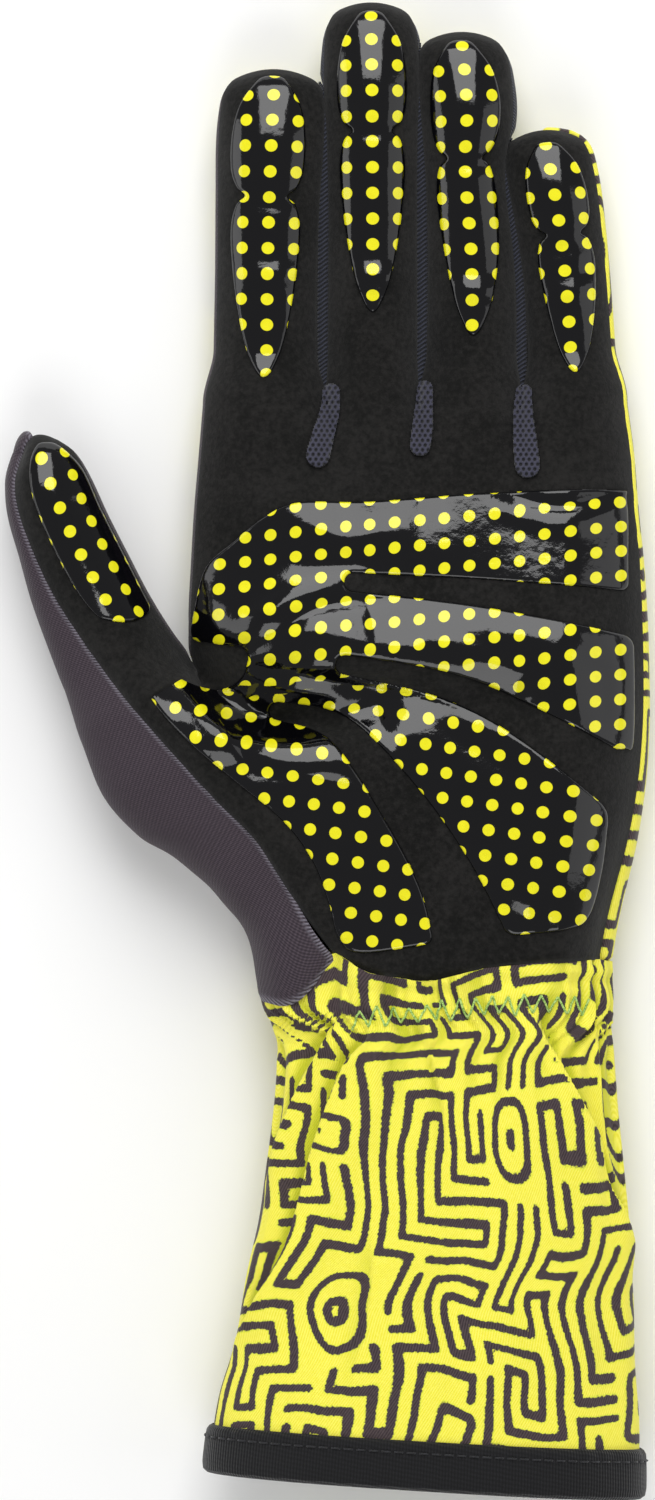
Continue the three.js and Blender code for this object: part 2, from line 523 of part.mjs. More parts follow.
// The part of a sheet inside an outline, given as a function that is below 0 inside, and on one grid where an owner is
// named. Edges near the outline are halved first. Every point lies on the sheet's own facets and keeps their slope.
function cutOut(sheet, outside, halvings, owner) {
  const points = [...sheet.points];
  const normals = pointNormals(sheet);
  const values = points.map((p) => outside(p.x, p.y));
  const made = new Map();
  const between = (a, b, share, value) => {
    const key = Math.min(a, b) + "," + Math.max(a, b);
    if (made.has(key)) return made.get(key);
    made.set(key, points.length);
    points.push(points[a].clone().lerp(points[b], share));
    normals.push(normals[a].clone().lerp(normals[b], share));
    values.push(value ?? outside(points.at(-1).x, points.at(-1).y));
    return points.length - 1;
  };
  let faces = sheet.faces.filter((face, i) => owner === undefined || sheet.owners[i] === owner);
  for (let round = 0; round < halvings; round++) {
    made.clear();
    faces = faces.flatMap((face) => {
      const ring = face.flatMap((a, k) => {
        const b = face[(k + 1) % 3];
        const length = points[a].distanceTo(points[b]);
        const middle = points[a].clone().lerp(points[b], 0.5);
        const near = Math.abs(outside(middle.x, middle.y)) < NEAR * length;
        return near ? [a, between(a, b, 0.5)] : [a];
      });
      if (ring.length < 6) {
        const first = Math.max(0, ring.findIndex((i) => !face.includes(i)));
        const turned = [...ring.slice(first), ...ring.slice(0, first)];
        return turned.slice(2).map((c, k) => [turned[0], turned[k + 1], c]);
      }
      const [a, m, b, n, c, o] = ring;
      return [[a, m, o], [m, b, n], [o, n, c], [m, n, o]];
    });
  }
  made.clear();
  values.forEach((v, i) => (values[i] = Math.abs(v) < SNAP ? 0 : v));
  const kept = faces.flatMap((face) => {
    const ring = face.flatMap((a, k) => {
      const b = face[(k + 1) % 3];
      const corner = values[a] <= 0 ? [a] : [];
      if (values[a] * values[b] >= 0) return corner;
      return [...corner, between(a, b, values[a] / (values[a] - values[b]), 0)];
    });
    if (ring.length < 3 || ring.every((i) => values[i] === 0)) return [];
    return ring.slice(2).map((c, k) => [ring[0], ring[k + 1], c]);
  });
  const used = [...new Set(kept.flat())];
  const place = new Map(used.map((old, i) => [old, i]));
  return {
    points: used.map((i) => points[i]),
    normals: used.map((i) => normals[i]),
    faces: kept.map((face) => face.map((i) => place.get(i))),
  };
}

// Signed distance to a closed line of places, below 0 inside.
function insideLine(places) {
  return (x, y) => {
    let nearest = Infinity;
    let inside = false;
    places.forEach((a, i) => {
      const b = places[(i + 1) % places.length];
      nearest = Math.min(nearest, distanceToRun(x, y, a, b).distance);
      if (a.y > y !== b.y > y && x < mix(a.x, b.x, (y - a.y) / (b.y - a.y))) inside = !inside;
    });
    return inside ? -nearest : nearest;
  };
}

// Signed distance to a run of stations, each with its own half width.
function insideRun(stations) {
  return (x, y) => {
    let nearest = Infinity;
    for (let i = 0; i + 1 < stations.length; i++) {
      const { distance, along } = distanceToRun(x, y, stations[i], stations[i + 1]);
      nearest = Math.min(nearest, distance - mix(stations[i].half, stations[i + 1].half, along));
    }
    return nearest;
  };
}

// A wall along a run of edge points, bulging to the left of the run, from drop under the seam above it to rise over
// the one under it.
function wallGrid(run, { bulge, drop, rise, steps }) {
  const rows = [];
  for (let k = 0; k <= steps; k++) {
    const turn = (Math.PI * k) / steps;
    rows.push(
      run.map((p, i) => {
        const before = run[Math.max(0, i - 1)];
        const after = run[Math.min(run.length - 1, i + 1)];
        const way = p.out || new THREE.Vector2(before.y - after.y, after.x - before.x).normalize();
        const top = p.top - drop(p, i);
        const under = p.under + rise;
        const middle = (top + under) / 2;
        const out = bulge(p, i) * Math.sin(turn);
        const z = middle + (top - middle) * Math.cos(turn);
        return Object.assign(new THREE.Vector3(p.x + way.x * out, p.y + way.y * out, z), { way });
      }),
    );
  }
  return rows;
}

// The edge points of a strip's section at t, with the heights of the cloth over and under it.
function rimPoint(section, t) {
  const top = sectionPoint(section, t, "top");
  const under = sectionPoint(section, t, "under");
  return { x: top.x, y: top.y, top: top.z, under: under.z };
}

// From the middle of a strip's tip down one of its sides to the section first.
function sideRun(strip, side, first) {
  const tip = strip.sections.at(-1);
  const half = ACROSS.filter((t) => t * side >= 0).sort((a, b) => Math.abs(a) - Math.abs(b));
  const round = half.map((t) => rimPoint(tip, t));
  const down = strip.sections.slice(first, -1).reverse().map((section) => rimPoint(section, side));
  return [...round, ...down];
}

const fingers = fingerStrips();
const thumb = thumbStrip(fingers[0]);
const [index, middle, ring, little] = fingers;
const rootRow = PALM_CUTS.length - 1;
const webRow = ROWS_TO_WEB;

const stripGrid = (strip, side) =>
  strip.sections.map((section) => ACROSS.map((t) => sectionPoint(section, side === "top" ? t : -t, side)));

const material = (color, roughness) => new THREE.MeshStandardMaterial({ color, roughness, metalness: 0 });
const suede = material(0x1c1c1d, 0.95);
const rubber = material(0x141417, 0.15);
const printed = material(0xe9f01e, 0.7);
const thumbCloth = material(0x47404a, 0.8);
const sideCloth = material(0x1c1d26, 0.9);
const mesh = material(0x2a2b36, 0.95);
const tape = material(0x14161c, 0.85);

const glove = new THREE.Group();
function add(name, geometry, look) {
  const piece = new THREE.Mesh(geometry, look);
  piece.name = name;
  glove.add(piece);
}

// Palm, with the fronts of the fingers and the thumb in one piece of suede.
const palmSheet = drawIn(sheetOf([thumb, ...fingers].map((strip) => stripGrid(strip, "top"))), SEAM_GAP / 2);

// Back of the hand, with the backs of the fingers, rolled up the little finger's side to meet the suede.
const tipHalf = ACROSS.filter((t) => t >= 0).length;
const lapDrop = SUEDE + LAP_GAP;
const outerRoll = wallGrid(sideRun(little, 1, 0), {
  bulge: (p, i) => {
    const share = THREE.MathUtils.clamp((onPalm(0, 1).y - p.y) / PALM_LENGTH, 0, 1);
    return i < tipHalf ? TIP_BULGE : mix(FINGER_BULGE, WRIST_BULGE, share ** 2);
  },
  drop: (p, i) => lapDrop * (1 - ease(i / tipHalf)),
  rise: 0,
  steps: OUTER_STEPS,
});
const backSheet = drawIn(sheetOf([...fingers.map((strip) => stripGrid(strip, "under")), outerRoll]), SEAM_GAP / 2);

// Thumb cloth: the thumb's back, rolled round its outer side on to the palm's side.
const thumbRun = sideRun(thumb, -1, 0).reverse();
const thumbRow = (i) => thumb.sections[Math.min(i, thumb.sections.length - 1)];
const thumbRoll = wallGrid(
  thumbRun.map((p, i) => {
    const { aim } = thumbRow(i);
    return i < thumb.sections.length - 1 ? { ...p, out: new THREE.Vector2(-Math.cos(aim), -Math.sin(aim)) } : p;
  }),
  { bulge: (p, i) => thumbRow(i).roll, drop: () => 0, rise: 0, steps: ROLL_STEPS },
);
const thumbSheet = drawIn(sheetOf([stripGrid(thumb, "under"), thumbRoll]), SEAM_GAP / 2);

add("palm_panel", layer(palmSheet, 0, -SUEDE), suede);
add("back_panel", layer(backSheet, 0, -PRINTED_CLOTH), printed);
add("thumb_panel", layer(thumbSheet, 0, -THUMB_CLOTH), thumbCloth);

// Strips between the digits: down one digit's side, round the root and up the next one's.
const CROTCHES = [
  { name: "fourchette_thumb_index", from: thumb, to: index, fromRow: webRow, toRow: webRow },
  { name: "fourchette_index_middle", from: index, to: middle, fromRow: rootRow, toRow: rootRow },
  { name: "fourchette_middle_ring", from: middle, to: ring, fromRow: rootRow, toRow: rootRow },
  { name: "fourchette_ring_little", from: ring, to: little, fromRow: rootRow, toRow: rootRow },
];
function between(a, b, share) {
  return Object.fromEntries(["x", "y", "top", "under"].map((key) => [key, mix(a[key], b[key], share)]));
}
function planWay(a, b) {
  return new THREE.Vector2(b.x - a.x, b.y - a.y).normalize();
}
// The first of two places, moved towards the second by a seam's gap.
function trimmed(a, b) {
  return between(a, b, SEAM_GAP / Math.hypot(b.x - a.x, b.y - a.y));
}
for (const crotch of CROTCHES) {
  const down = sideRun(crotch.from, 1, crotch.fromRow);
  const root = down.pop();
  const up = sideRun(crotch.to, -1, crotch.toRow + 1).reverse();
  down.push(between(root, down.at(-1), CROTCH_TURN));
  up.unshift(between(root, up[0], CROTCH_TURN));
  root.out = planWay(root, down.at(-1)).add(planWay(root, up[0])).normalize();
  down[0] = trimmed(down[0], down[1]);
  up.push(trimmed(up.pop(), up.at(-1)));
  const run = [...down, root, ...up];
  const grid = wallGrid(run, {
    bulge: (p, i) => {
      const most = i < tipHalf || i >= run.length - tipHalf ? TIP_BULGE : SIDE_BULGE;
      const facing = i <= down.length ? [root, ...up] : [...down, root];
      return Math.min(most, BULGE_ROOM * distanceToLine(p.x, p.y, facing));
    },
    drop: () => lapDrop + SEAM_GAP,
    rise: PRINTED_CLOTH + 2 * LAP_GAP + SEAM_GAP,
    steps: BAND_STEPS,
  });
  const sheet = sheetOf([grid]);
  sheet.normals = sheet.ways.map((way) => new THREE.Vector3(way.x, way.y, 0));
  add(crotch.name, layer(sheet, 0, -FOURCHETTE_CLOTH), sideCloth);
}

// A piece that lies on the palm's side within an outline.
function onSuede(name, outside, halvings, thickness, look, owner) {
  const sheet = cutOut(palmSheet, outside, halvings, owner);
  add(name, layer(sheet, GRIP_LIFT + thickness, GRIP_LIFT), look);
}

function palmGrip() {
  const line = PALM_GRIP_LINE.map(([x, y]) => onPalm(x, y));
  const outer = insideLine(line);
  const channels = PALM_GRIP_CHANNELS.map((stations) =>
    insideRun(stations.map((s) => Object.assign(onPalm(s.x, s.y), { half: s.half * PALM_WIDTH }))),
  );
  const outside = (x, y) => Math.max(outer(x, y), ...channels.map((channel) => -channel(x, y)));
  onSuede("grip_palm", outside, GRIP_HALVINGS, GRIP_RUBBER, rubber);
}

// Plan place on a strip's free part: at along it and t across it.
function onStrip(strip, first, shares, at, t) {
  const all = [0, ...shares];
  const upper = Math.min(all.findIndex((share) => share >= at), all.length - 1);
  const row = Math.max(1, upper);
  const share = (at - all[row - 1]) / (all[row] - all[row - 1]);
  const a = sectionPoint(strip.sections[first + row - 1], t, "top");
  const b = sectionPoint(strip.sections[first + row], t, "top");
  return new THREE.Vector2(mix(a.x, b.x, share), mix(a.y, b.y, share));
}

function fingerGrip(strip, i) {
  const grip = FINGER_GRIPS[strip.name];
  const shares = FINGER_SECTIONS.map((s) => s.at);
  const rim = (side) =>
    GRIP_OUTLINE.map((row) => {
      const at = mix(grip.top, grip.foot, row.at);
      const lean = grip.shift + grip.turn * row.at;
      return onStrip(strip, rootRow, shares, at, 2 * (lean + side * row.half * grip.half));
    });
  const line = [...rim(1), ...rim(-1).reverse()];
  onSuede("grip_" + strip.name, insideLine(line), GRIP_HALVINGS, GRIP_RUBBER, rubber, i + 1);
}

function thumbGrip() {
  const { top, foot, seam_side, inner_side } = THUMB_GRIP;
  const shares = THUMB_SECTIONS.map((s) => s.at);
  const width = inner_side - seam_side;
  const corner = THUMB_GRIP_CORNER;
  const rows = [
    [foot, seam_side + corner * width],
    [foot + corner, seam_side],
    [0.5, seam_side],
    [0.7, seam_side],
    [top - 2 * corner, seam_side],
    [top - corner / 2, seam_side + 0.3 * width],
    [top, seam_side + 0.6 * width],
    [top - corner / 2, inner_side],
    [0.7, inner_side],
    [0.5, inner_side],
    [foot, inner_side],
  ];
  const line = rows.map(([at, t]) => onStrip(thumb, webRow, shares, at, t));
  onSuede("grip_thumb", insideLine(line), GRIP_HALVINGS, GRIP_RUBBER, rubber, 0);
}

palmGrip();
fingers.forEach(fingerGrip);
thumbGrip();

fingers.slice(0, -1).forEach((strip, i) => {
  const gusset = GUSSETS[i];
  const root = strip.sections[rootRow].right;
  const length = gusset.length * PALM_LENGTH;
  const start = { x: root.x, y: root.y - gusset.start * PALM_LENGTH, half: gusset.half * FINGER_WIDTH };
  const end = { x: start.x - gusset.lean * length, y: start.y - length, half: gusset.end_half * FINGER_WIDTH };
  onSuede(gusset.name, insideRun([start, end]), GUSSET_HALVINGS, GUSSET_MESH, mesh);
});

// Cuff: its first ring is the hand's own wrist edge, the last one the hem.
function wristRing() {
  const first = (strip) => strip.sections[0];
  const over = [thumb, ...fingers].flatMap((strip, i) =>
    ACROSS.slice(i ? 1 : 0).map((t) => sectionPoint(first(strip), t, "top")),
  );
  const outer = outerRoll.slice(1, -1).map((row) => row.at(-1));
  const below = [...fingers].reverse().flatMap((strip, i) =>
    [...ACROSS].reverse().slice(i ? 1 : 0).map((t) => sectionPoint(first(strip), t, "under")),
  );
  const thumbBelow = [...ACROSS].reverse().slice(1).map((t) => sectionPoint(first(thumb), t, "under"));
  const roll = thumbRoll.slice(1, -1).reverse().map((row) => row[0]);
  return [...over, ...outer, ...below, ...thumbBelow, ...roll];
}

const wrist = wristRing();
const wristBox = new THREE.Box3().setFromPoints(wrist);
const wristSize = wristBox.getSize(new THREE.Vector3());
const wristCentre = wristBox.getCenter(new THREE.Vector3());

// How far the cuff stands out of its smooth section at a turn, in degrees, with a share of each gather left.
function gatherOut(turn, at, left) {
  return GATHERS.reduce((sum, g) => {
    const middle = mix(g.turn, g.hem_turn, at);
    const off = THREE.MathUtils.euclideanModulo(turn - middle + 180, 360) - 180;
    return sum + g.deep * WRIST_HEIGHT * left * Math.exp(-((off / g.wide) ** 2));
  }, 0);
}

// Turns of the columns round the cuff, in degrees: each column follows a point of the wrist.
const cuffTurns = [];
for (const p of wrist) {
  const angle = Math.atan2((p.z - wristCentre.z) / wristSize.z, (p.x - wristCentre.x) / wristSize.x);
  const turn = THREE.MathUtils.radToDeg(angle);
  const last = cuffTurns.length ? cuffTurns.at(-1) : 180;
  cuffTurns.push(Math.min(turn - last > 180 ? turn - 360 : turn, last - LEAST_TURN));
}

function cuffRing(at) {
  const section = rowAt(CUFF_SECTIONS, at);
  const width = mix(WRIST_WIDTH, HEM_WIDTH, section.width);
  const height = mix(WRIST_HEIGHT, HEM_HEIGHT, section.height);
  const centreX = mix(WRIST_MIDDLE, HEM_MIDDLE, section.middle);
  const floor = (HEM_GAP + BINDING_CLOTH) * ease((at - HEM_LIFT.from) / HEM_LIFT.over);
  const own = ease(at / CUFF_BLEND);
  return wrist.map((p, i) => {
    const angle = radians(cuffTurns[i]);
    const swing = Math.sign(Math.cos(angle)) * Math.abs(Math.cos(angle)) ** CUFF_SQUARE;
    const out = gatherOut(cuffTurns[i], at, section.gather);
    const x = centreX + (width / 2 + out) * swing;
    const climb = Math.sin(angle) * (Math.sin(angle) < 0 ? CUFF_UNDER : 1);
    const z = Math.max(floor, height / 2 + (height / 2 + out) * climb);
    const drop = CUFF_LENGTH * at + HEM_TILT * at * ((x - centreX) / HEM_WIDTH);
    const seamY = mix(p.y, WRIST_Y, own);
    return new THREE.Vector3(mix(p.x, x, own), seamY - drop, mix(p.z, z, own));
  });
}

const tapeTop = 1 - BINDING_WIDTH / CUFF_LENGTH;
const cuffCuts = [];
for (let i = 0; i <= CUFF_BANDS; i++) cuffCuts.push(tapeTop * (i / CUFF_BANDS) ** CLOSER);
cuffCuts.push(1);
const cuffRings = cuffCuts.map(cuffRing).map((ring) => [...ring, ring[0]]);
const cuffSheet = sheetOf([[...cuffRings].reverse()]);

// Hem tape: folded round the cuff's edge, with one layer outside it and one inside.
function hemTape() {
  const normals = pointNormals(cuffSheet);
  const columns = wrist.length;
  const hem = [...Array(columns).keys()];
  const outside = HEM_GAP + BINDING_CLOTH;
  const inside = -PRINTED_CLOTH - outside;
  const beyond = HEM_GAP + BINDING_CLOTH;
  const layers = [
    [0, outside, beyond],
    [1, outside, 0],
    [1, HEM_GAP, 0],
    [0, HEM_GAP, HEM_GAP],
    [0, -PRINTED_CLOTH - HEM_GAP, HEM_GAP],
    [1, -PRINTED_CLOTH - HEM_GAP, 0],
    [1, inside, 0],
    [0, inside, beyond],
  ];
  const ring = ([row, out, past]) =>
    [...hem, 0].map((i) => {
      const p = cuffSheet.points[row * columns + i];
      const along = cuffSheet.points[i].clone().sub(cuffSheet.points[columns + i]).normalize();
      return p.clone().addScaledVector(normals[row * columns + i], out).addScaledVector(along, past);
    });
  const { points, faces } = sheetOf([[...layers, layers[0]].map(ring)]);
  const geometry = new THREE.BufferGeometry().setFromPoints(points);
  geometry.setIndex(faces.flat());
  geometry.computeVertexNormals();
  return geometry;
}
add("cuff_binding", hemTape(), tape);
add("cuff", layer(drawIn(cuffSheet, SEAM_GAP / 2), 0, -PRINTED_CLOTH), printed);

// The origin goes under the middle of the glove's box.
glove.updateMatrixWorld(true);
const whole = new THREE.Box3().setFromObject(glove, true);
const middlePoint = whole.getCenter(new THREE.Vector3());
glove.position.set(-middlePoint.x, -middlePoint.y, -whole.min.z);

export default glove;
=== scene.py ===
# Karting glove for the left hand, palm up: cloth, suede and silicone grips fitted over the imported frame.
# Lengths are millimetres up to the moment a mesh is made. +Y runs to the fingertips, the thumb is on the -X side.
import math
import bpy
import numpy as np
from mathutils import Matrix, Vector
from mathutils.bvhtree import BVHTree
from mathutils.kdtree import KDTree


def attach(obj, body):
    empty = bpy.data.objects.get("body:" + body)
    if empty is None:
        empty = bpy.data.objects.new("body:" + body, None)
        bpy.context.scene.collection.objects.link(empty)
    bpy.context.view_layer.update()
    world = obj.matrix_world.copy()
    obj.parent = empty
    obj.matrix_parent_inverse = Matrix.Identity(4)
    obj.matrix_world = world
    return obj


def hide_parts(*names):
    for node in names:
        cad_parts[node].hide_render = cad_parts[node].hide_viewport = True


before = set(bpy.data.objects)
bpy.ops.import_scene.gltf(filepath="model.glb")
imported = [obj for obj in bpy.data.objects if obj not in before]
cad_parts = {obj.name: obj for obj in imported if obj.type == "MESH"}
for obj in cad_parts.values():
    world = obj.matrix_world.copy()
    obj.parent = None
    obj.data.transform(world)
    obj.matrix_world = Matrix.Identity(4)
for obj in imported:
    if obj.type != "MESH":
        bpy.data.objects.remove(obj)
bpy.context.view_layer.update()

SHIFT = np.array([-1.2008934, 0.1696396, 0.0])  # from the hand's own coordinates to the frame's
PIXEL = 0.2  # millimetres in one unit of the drawing that some places are given on, from its upper left corner
DRAWING_MIDDLE = (327.5, 750)

# Sizes of the frame's forms, as its source has them
PALM_WIDTH, PALM_LENGTH, PALM_HEIGHT = 92, 113, 27
PALM_MIDDLE, WRIST_Y = 19.1, -44
WRIST_TILT, WRIST_DIP, WRIST_FADE = 4, 3, 0.15
WEB_AT, UNDER_SEAM, FLARE = 0.527, 0.17, 11
FINGER_WIDTH, FINGER_HEIGHT, TIP_LIFT = 17.6, 17.5, 3.5
FINGERS = [
    dict(name="index", length=66.2, width=1.125, height=0.97, lean=-1.4, sweep=-0.03, press=0.0),
    dict(name="middle", length=79.4, width=1.0, height=1.0, lean=0.2, sweep=0.01, press=0.0),
    dict(name="ring", length=73.6, width=1.0, height=0.97, lean=1.2, sweep=0.08, press=0.125),
    dict(name="little", length=54.4, width=0.94, height=0.89, lean=6.0, sweep=0.08, press=0.0),
]
FINGER_LINES = [(0.02, -0.196), (0.146, 0.002), (0.267, 0.224)]
THUMB_LENGTH, THUMB_WIDTH, THUMB_HEIGHT = 56, 16, 18
THUMB_LEAN, THUMB_SWEEP, THUMB_LIFT, THUMB_ROLL = 27.9, -2.8, 3, 16.8
CUFF_LENGTH, WRIST_WIDTH, WRIST_HEIGHT, WRIST_MIDDLE = 101.8, 66.6, 26, 24.8
HEM_WIDTH, HEM_HEIGHT, HEM_MIDDLE, HEM_TILT = 86.2, 34, 20.6, 5.4
BINDING_WIDTH, HEM_GAP, BINDING_CLOTH = 8, 0.45, 1.1
CUFF_BLEND, CUFF_SQUARE, CUFF_UNDER = 0.17, 0.85, 1.06

# Thickness of the cloths
SUEDE_THICK, CHARCOAL_THICK, PRINTED_THICK, SIDE_THICK, KNIT_THICK = 1.0, 1.0, 0.9, 0.7, 0.5

# How finely the surfaces are cut
STEP = 0.85
COLUMNS = 24
CUFF_ROWS, CUFF_COLUMNS = 128, 336


def table(columns, *rows):
    """Rows of numbers under named columns."""
    return {name: np.array([row[i] for row in rows], float) for i, name in enumerate(columns.split())}


PALM = table(
    "at left right crown valley left_seam right_seam",
    (0.0, -0.104, 0.393, 0.92, 0.92, 0.92, 0.56),
    (0.115, -0.187, 0.419, 0.98, 0.97, 0.97, 0.57),
    (0.23, -0.27, 0.456, 1.0, 0.99, 0.99, 0.58),
    (0.336, -0.348, 0.479, 1.0, 0.99, 0.99, 0.58),
    (0.434, -0.417, 0.489, 0.99, 0.97, 0.93, 0.58),
    (0.527, -0.48, 0.491, 0.98, 0.96, 0.66, 0.58),
    (0.619, -0.488, 0.489, 0.96, 0.94, 0.58, 0.57),
    (0.717, -0.483, 0.483, 0.92, 0.89, 0.55, 0.55),
    (0.814, -0.476, 0.472, 0.87, 0.81, 0.53, 0.53),
    (0.912, -0.466, 0.463, 0.81, 0.68, 0.51, 0.5),
    (1.0, -0.457, 0.449, 0.74, 0.52, 0.49, 0.48),
)
# The last rows carry the suede on over the fingertip, past the frame's own last section.
FINGER = table(
    "at width crown seam under bow press",
    (0.08, 1.0, 1.0, 0.66, 0.27, 0.0, 0.0),
    (0.19, 0.99, 1.0, 0.66, 0.27, 0.0, 0.0),
    (0.4, 0.98, 1.0, 0.66, 0.27, 0.0, 0.25),
    (0.64, 1.01, 1.0, 0.66, 0.27, 0.0, 1.0),
    (0.79, 1.04, 0.98, 0.65, 0.27, 0.01, 0.15),
    (0.9, 1.03, 0.88, 0.61, 0.28, 0.03, 0.0),
    (0.96, 0.98, 0.76, 0.56, 0.29, 0.06, 0.0),
    (1.0, 0.83, 0.59, 0.48, 0.3, 0.08, 0.0),
    (1.012, 0.68, 0.46, 0.42, 0.31, 0.075, 0.0),
)
THUMB_ROOT = table(
    "at x y roll aim crown seam under",
    (0.0, -0.178, 0.03, 0.96, 24, 0.9, 0.84, 0.12),
    (0.22, -0.257, 0.115, 0.73, 16, 0.97, 0.9, 0.1),
    (0.44, -0.35, 0.23, 0.99, 15, 1.0, 0.92, 0.1),
    (0.64, -0.437, 0.301, 1.04, 25, 1.0, 0.92, 0.1),
    (0.82, -0.517, 0.372, 1.02, 26, 0.97, 0.9, 0.12),
    (1.0, -0.613, 0.46, 0.76, 28, 0.93, 0.86, 0.14),
)
THUMB = table(
    "at width roll crown seam inner under bow",
    (0.17, 0.92, 0.54, 1.16, 1.05, 0.72, 0.17, 0.0),
    (0.32, 0.95, 0.42, 1.08, 0.97, 0.68, 0.17, 0.0),
    (0.5, 1.0, 0.28, 1.02, 0.88, 0.66, 0.17, 0.0),
    (0.67, 0.98, 0.19, 0.98, 0.82, 0.66, 0.18, 0.02),
    (0.84, 0.93, 0.16, 0.94, 0.76, 0.64, 0.2, 0.06),
    (0.94, 0.78, 0.15, 0.84, 0.69, 0.61, 0.22, 0.1),
    (1.0, 0.52, 0.14, 0.66, 0.6, 0.56, 0.25, 0.13),
    (1.02, 0.4, 0.14, 0.54, 0.52, 0.5, 0.26, 0.14),
)
# Broad ridges and creases of the palm: two places in shares of its width and length, reach and height in shares of
# its height.
RELIEF = [
    (-0.5, 0.545, -0.3, 0.43, 0.22, -0.24),
    (-0.3, 0.43, -0.12, 0.46, 0.22, -0.2),
    (-0.47, 0.41, -0.2, 0.385, 0.2, 0.1),
    (-0.42, 0.63, 0.1, 0.52, 0.18, 0.06),
    (-0.1, 0.5, 0.22, 0.47, 0.16, -0.09),
    (-0.38, 0.74, 0.02, 0.66, 0.2, -0.05),
    (0.05, 0.6, 0.34, 0.57, 0.2, 0.05),
    (0.3, 0.2, 0.36, 0.45, 0.5, 0.05),
    (0.0, 0.12, 0.05, 0.38, 0.5, -0.08),
]
# Finer folds: a run of places on the drawing, reach and height in millimetres.
FOLDS = [
    ([(246, 634), (275, 606), (318, 588), (372, 576)], 2.0, 1.0),
    ([(250, 652), (285, 628), (330, 607), (400, 600)], 1.6, -0.9),
    ([(262, 668), (320, 678), (380, 686), (436, 702)], 1.8, -1.3),
    ([(300, 664), (350, 668), (420, 682)], 1.3, 0.6),
    ([(172, 652), (196, 700), (226, 734), (266, 746), (332, 738)], 2.2, 1.5),
    ([(186, 652), (214, 694), (246, 716), (300, 716)], 2.2, -1.4),
    ([(210, 762), (262, 772), (330, 782), (372, 800)], 1.8, -0.5),
    ([(500, 494), (560, 508), (612, 492)], 1.6, -0.9),
    ([(498, 508), (560, 524), (616, 508)], 1.8, 0.5),
    ([(560, 640), (590, 668), (600, 720)], 3.2, -0.8),
    ([(470, 860), (500, 905), (540, 925)], 2.4, -0.5),
    ([(300, 520), (340, 540), (400, 532)], 2.6, 0.5),
    ([(430, 640), (500, 664), (570, 700)], 2.2, 0.5),
    ([(306, 868), (330, 930), (350, 958)], 2.6, -0.6),
    ([(360, 700), (450, 730), (540, 790)], 3.0, -0.5),
    ([(254, 424), (275, 432), (296, 424)], 2.4, -0.5),
    ([(352, 392), (376, 400), (402, 392)], 2.4, -0.45),
    ([(440, 398), (466, 405), (500, 396)], 2.4, -0.45),
    ([(244, 200), (270, 204), (296, 200)], 2.0, -0.45),
    ([(348, 128), (374, 132), (400, 128)], 2.0, -0.45),
    ([(450, 160), (476, 164), (502, 158)], 2.0, -0.45),
    ([(536, 250), (560, 250), (586, 240)], 2.0, -0.45),
    ([(346, 274), (376, 278), (406, 274)], 2.4, 0.8),
    ([(452, 288), (478, 292), (506, 286)], 2.4, 0.8),
    ([(246, 272), (276, 276), (306, 268)], 2.4, 0.6),
    ([(546, 290), (572, 292), (596, 284)], 2.4, 0.6),
    ([(70, 500), (84, 505), (98, 494)], 2.2, -0.5),
]


# Small helpers

def lerp(a, b, share):
    return a + (b - a) * share


def ease(x):
    x = np.clip(x, 0, 1)
    return x * x * (3 - 2 * x)


def spots(places):
    """Plan places, in the hand's own millimetres, of places on the drawing."""
    return (np.asarray(places, float) - DRAWING_MIDDLE) * (PIXEL, -PIXEL) - SHIFT[:2]


def palm_place(x, y):
    """The place at shares of the palm's width and length."""
    return np.array([PALM_MIDDLE + x * PALM_WIDTH, WRIST_Y + y * PALM_LENGTH])


def curve(a, b, leave, arrive, s):
    """From a to b with a slope at each end."""
    return lerp(a, b, s * s * (3 - 2 * s)) + (leave * (s**3 - 2 * s**2 + s) + arrive * (s**3 - s**2))


def rows_at(rows, at):
    """A table's columns at shares along it, each on a smooth curve through its rows."""
    knots = rows["at"]
    at = np.atleast_1d(np.asarray(at, float))
    last = len(knots) - 1
    i = np.clip(np.searchsorted(knots, at, side="left") - 1, 0, last - 1)
    before, after = np.maximum(i - 1, 0), np.minimum(i + 2, last)
    step = knots[i + 1] - knots[i]
    s = (at - knots[i]) / step
    out = {}
    for name, c in rows.items():
        leave = step * (c[i + 1] - c[before]) / (knots[i + 1] - knots[before])
        arrive = step * (c[after] - c[i]) / (knots[after] - knots[i])
        out[name] = curve(c[i], c[i + 1], leave, arrive, s)
    return out


def smooth_line(points, per=6, closed=False):
    """Points on a smooth curve through the given ones."""
    p = np.asarray(points, float)
    n = len(p)
    out = []
    for i in range(n if closed else n - 1):
        a, b, c, d = (p[(i + k) % n] if closed else p[min(max(i + k, 0), n - 1)] for k in (-1, 0, 1, 2))
        for s in np.arange(per) / per:
            bend = (2 * a - 5 * b + 4 * c - d) * s**2 + (3 * b - a - 3 * c + d) * s**3
            out.append(0.5 * (2 * b + (c - a) * s + bend))
    return np.array(out if closed else out + [p[-1]])


def run_distance(x, y, run, closed=False):
    """Distance to a run of places, less its half width where it has one, and how far along it the nearest lies."""
    best = np.full(np.shape(x), 1e9)
    along = np.zeros(np.shape(x))
    for i, (a, b) in enumerate(zip(run, np.roll(run, -1, axis=0) if closed else run[1:])):
        d = b[:2] - a[:2]
        s = np.clip(((x - a[0]) * d[0] + (y - a[1]) * d[1]) / max(d @ d, 1e-9), 0, 1)
        far = np.hypot(x - a[0] - s * d[0], y - a[1] - s * d[1])
        if len(a) > 2:
            far = far - lerp(a[2], b[2], s)
        near = far < best
        best = np.where(near, far, best)
        along = np.where(near, i + s, along)
    return best, along


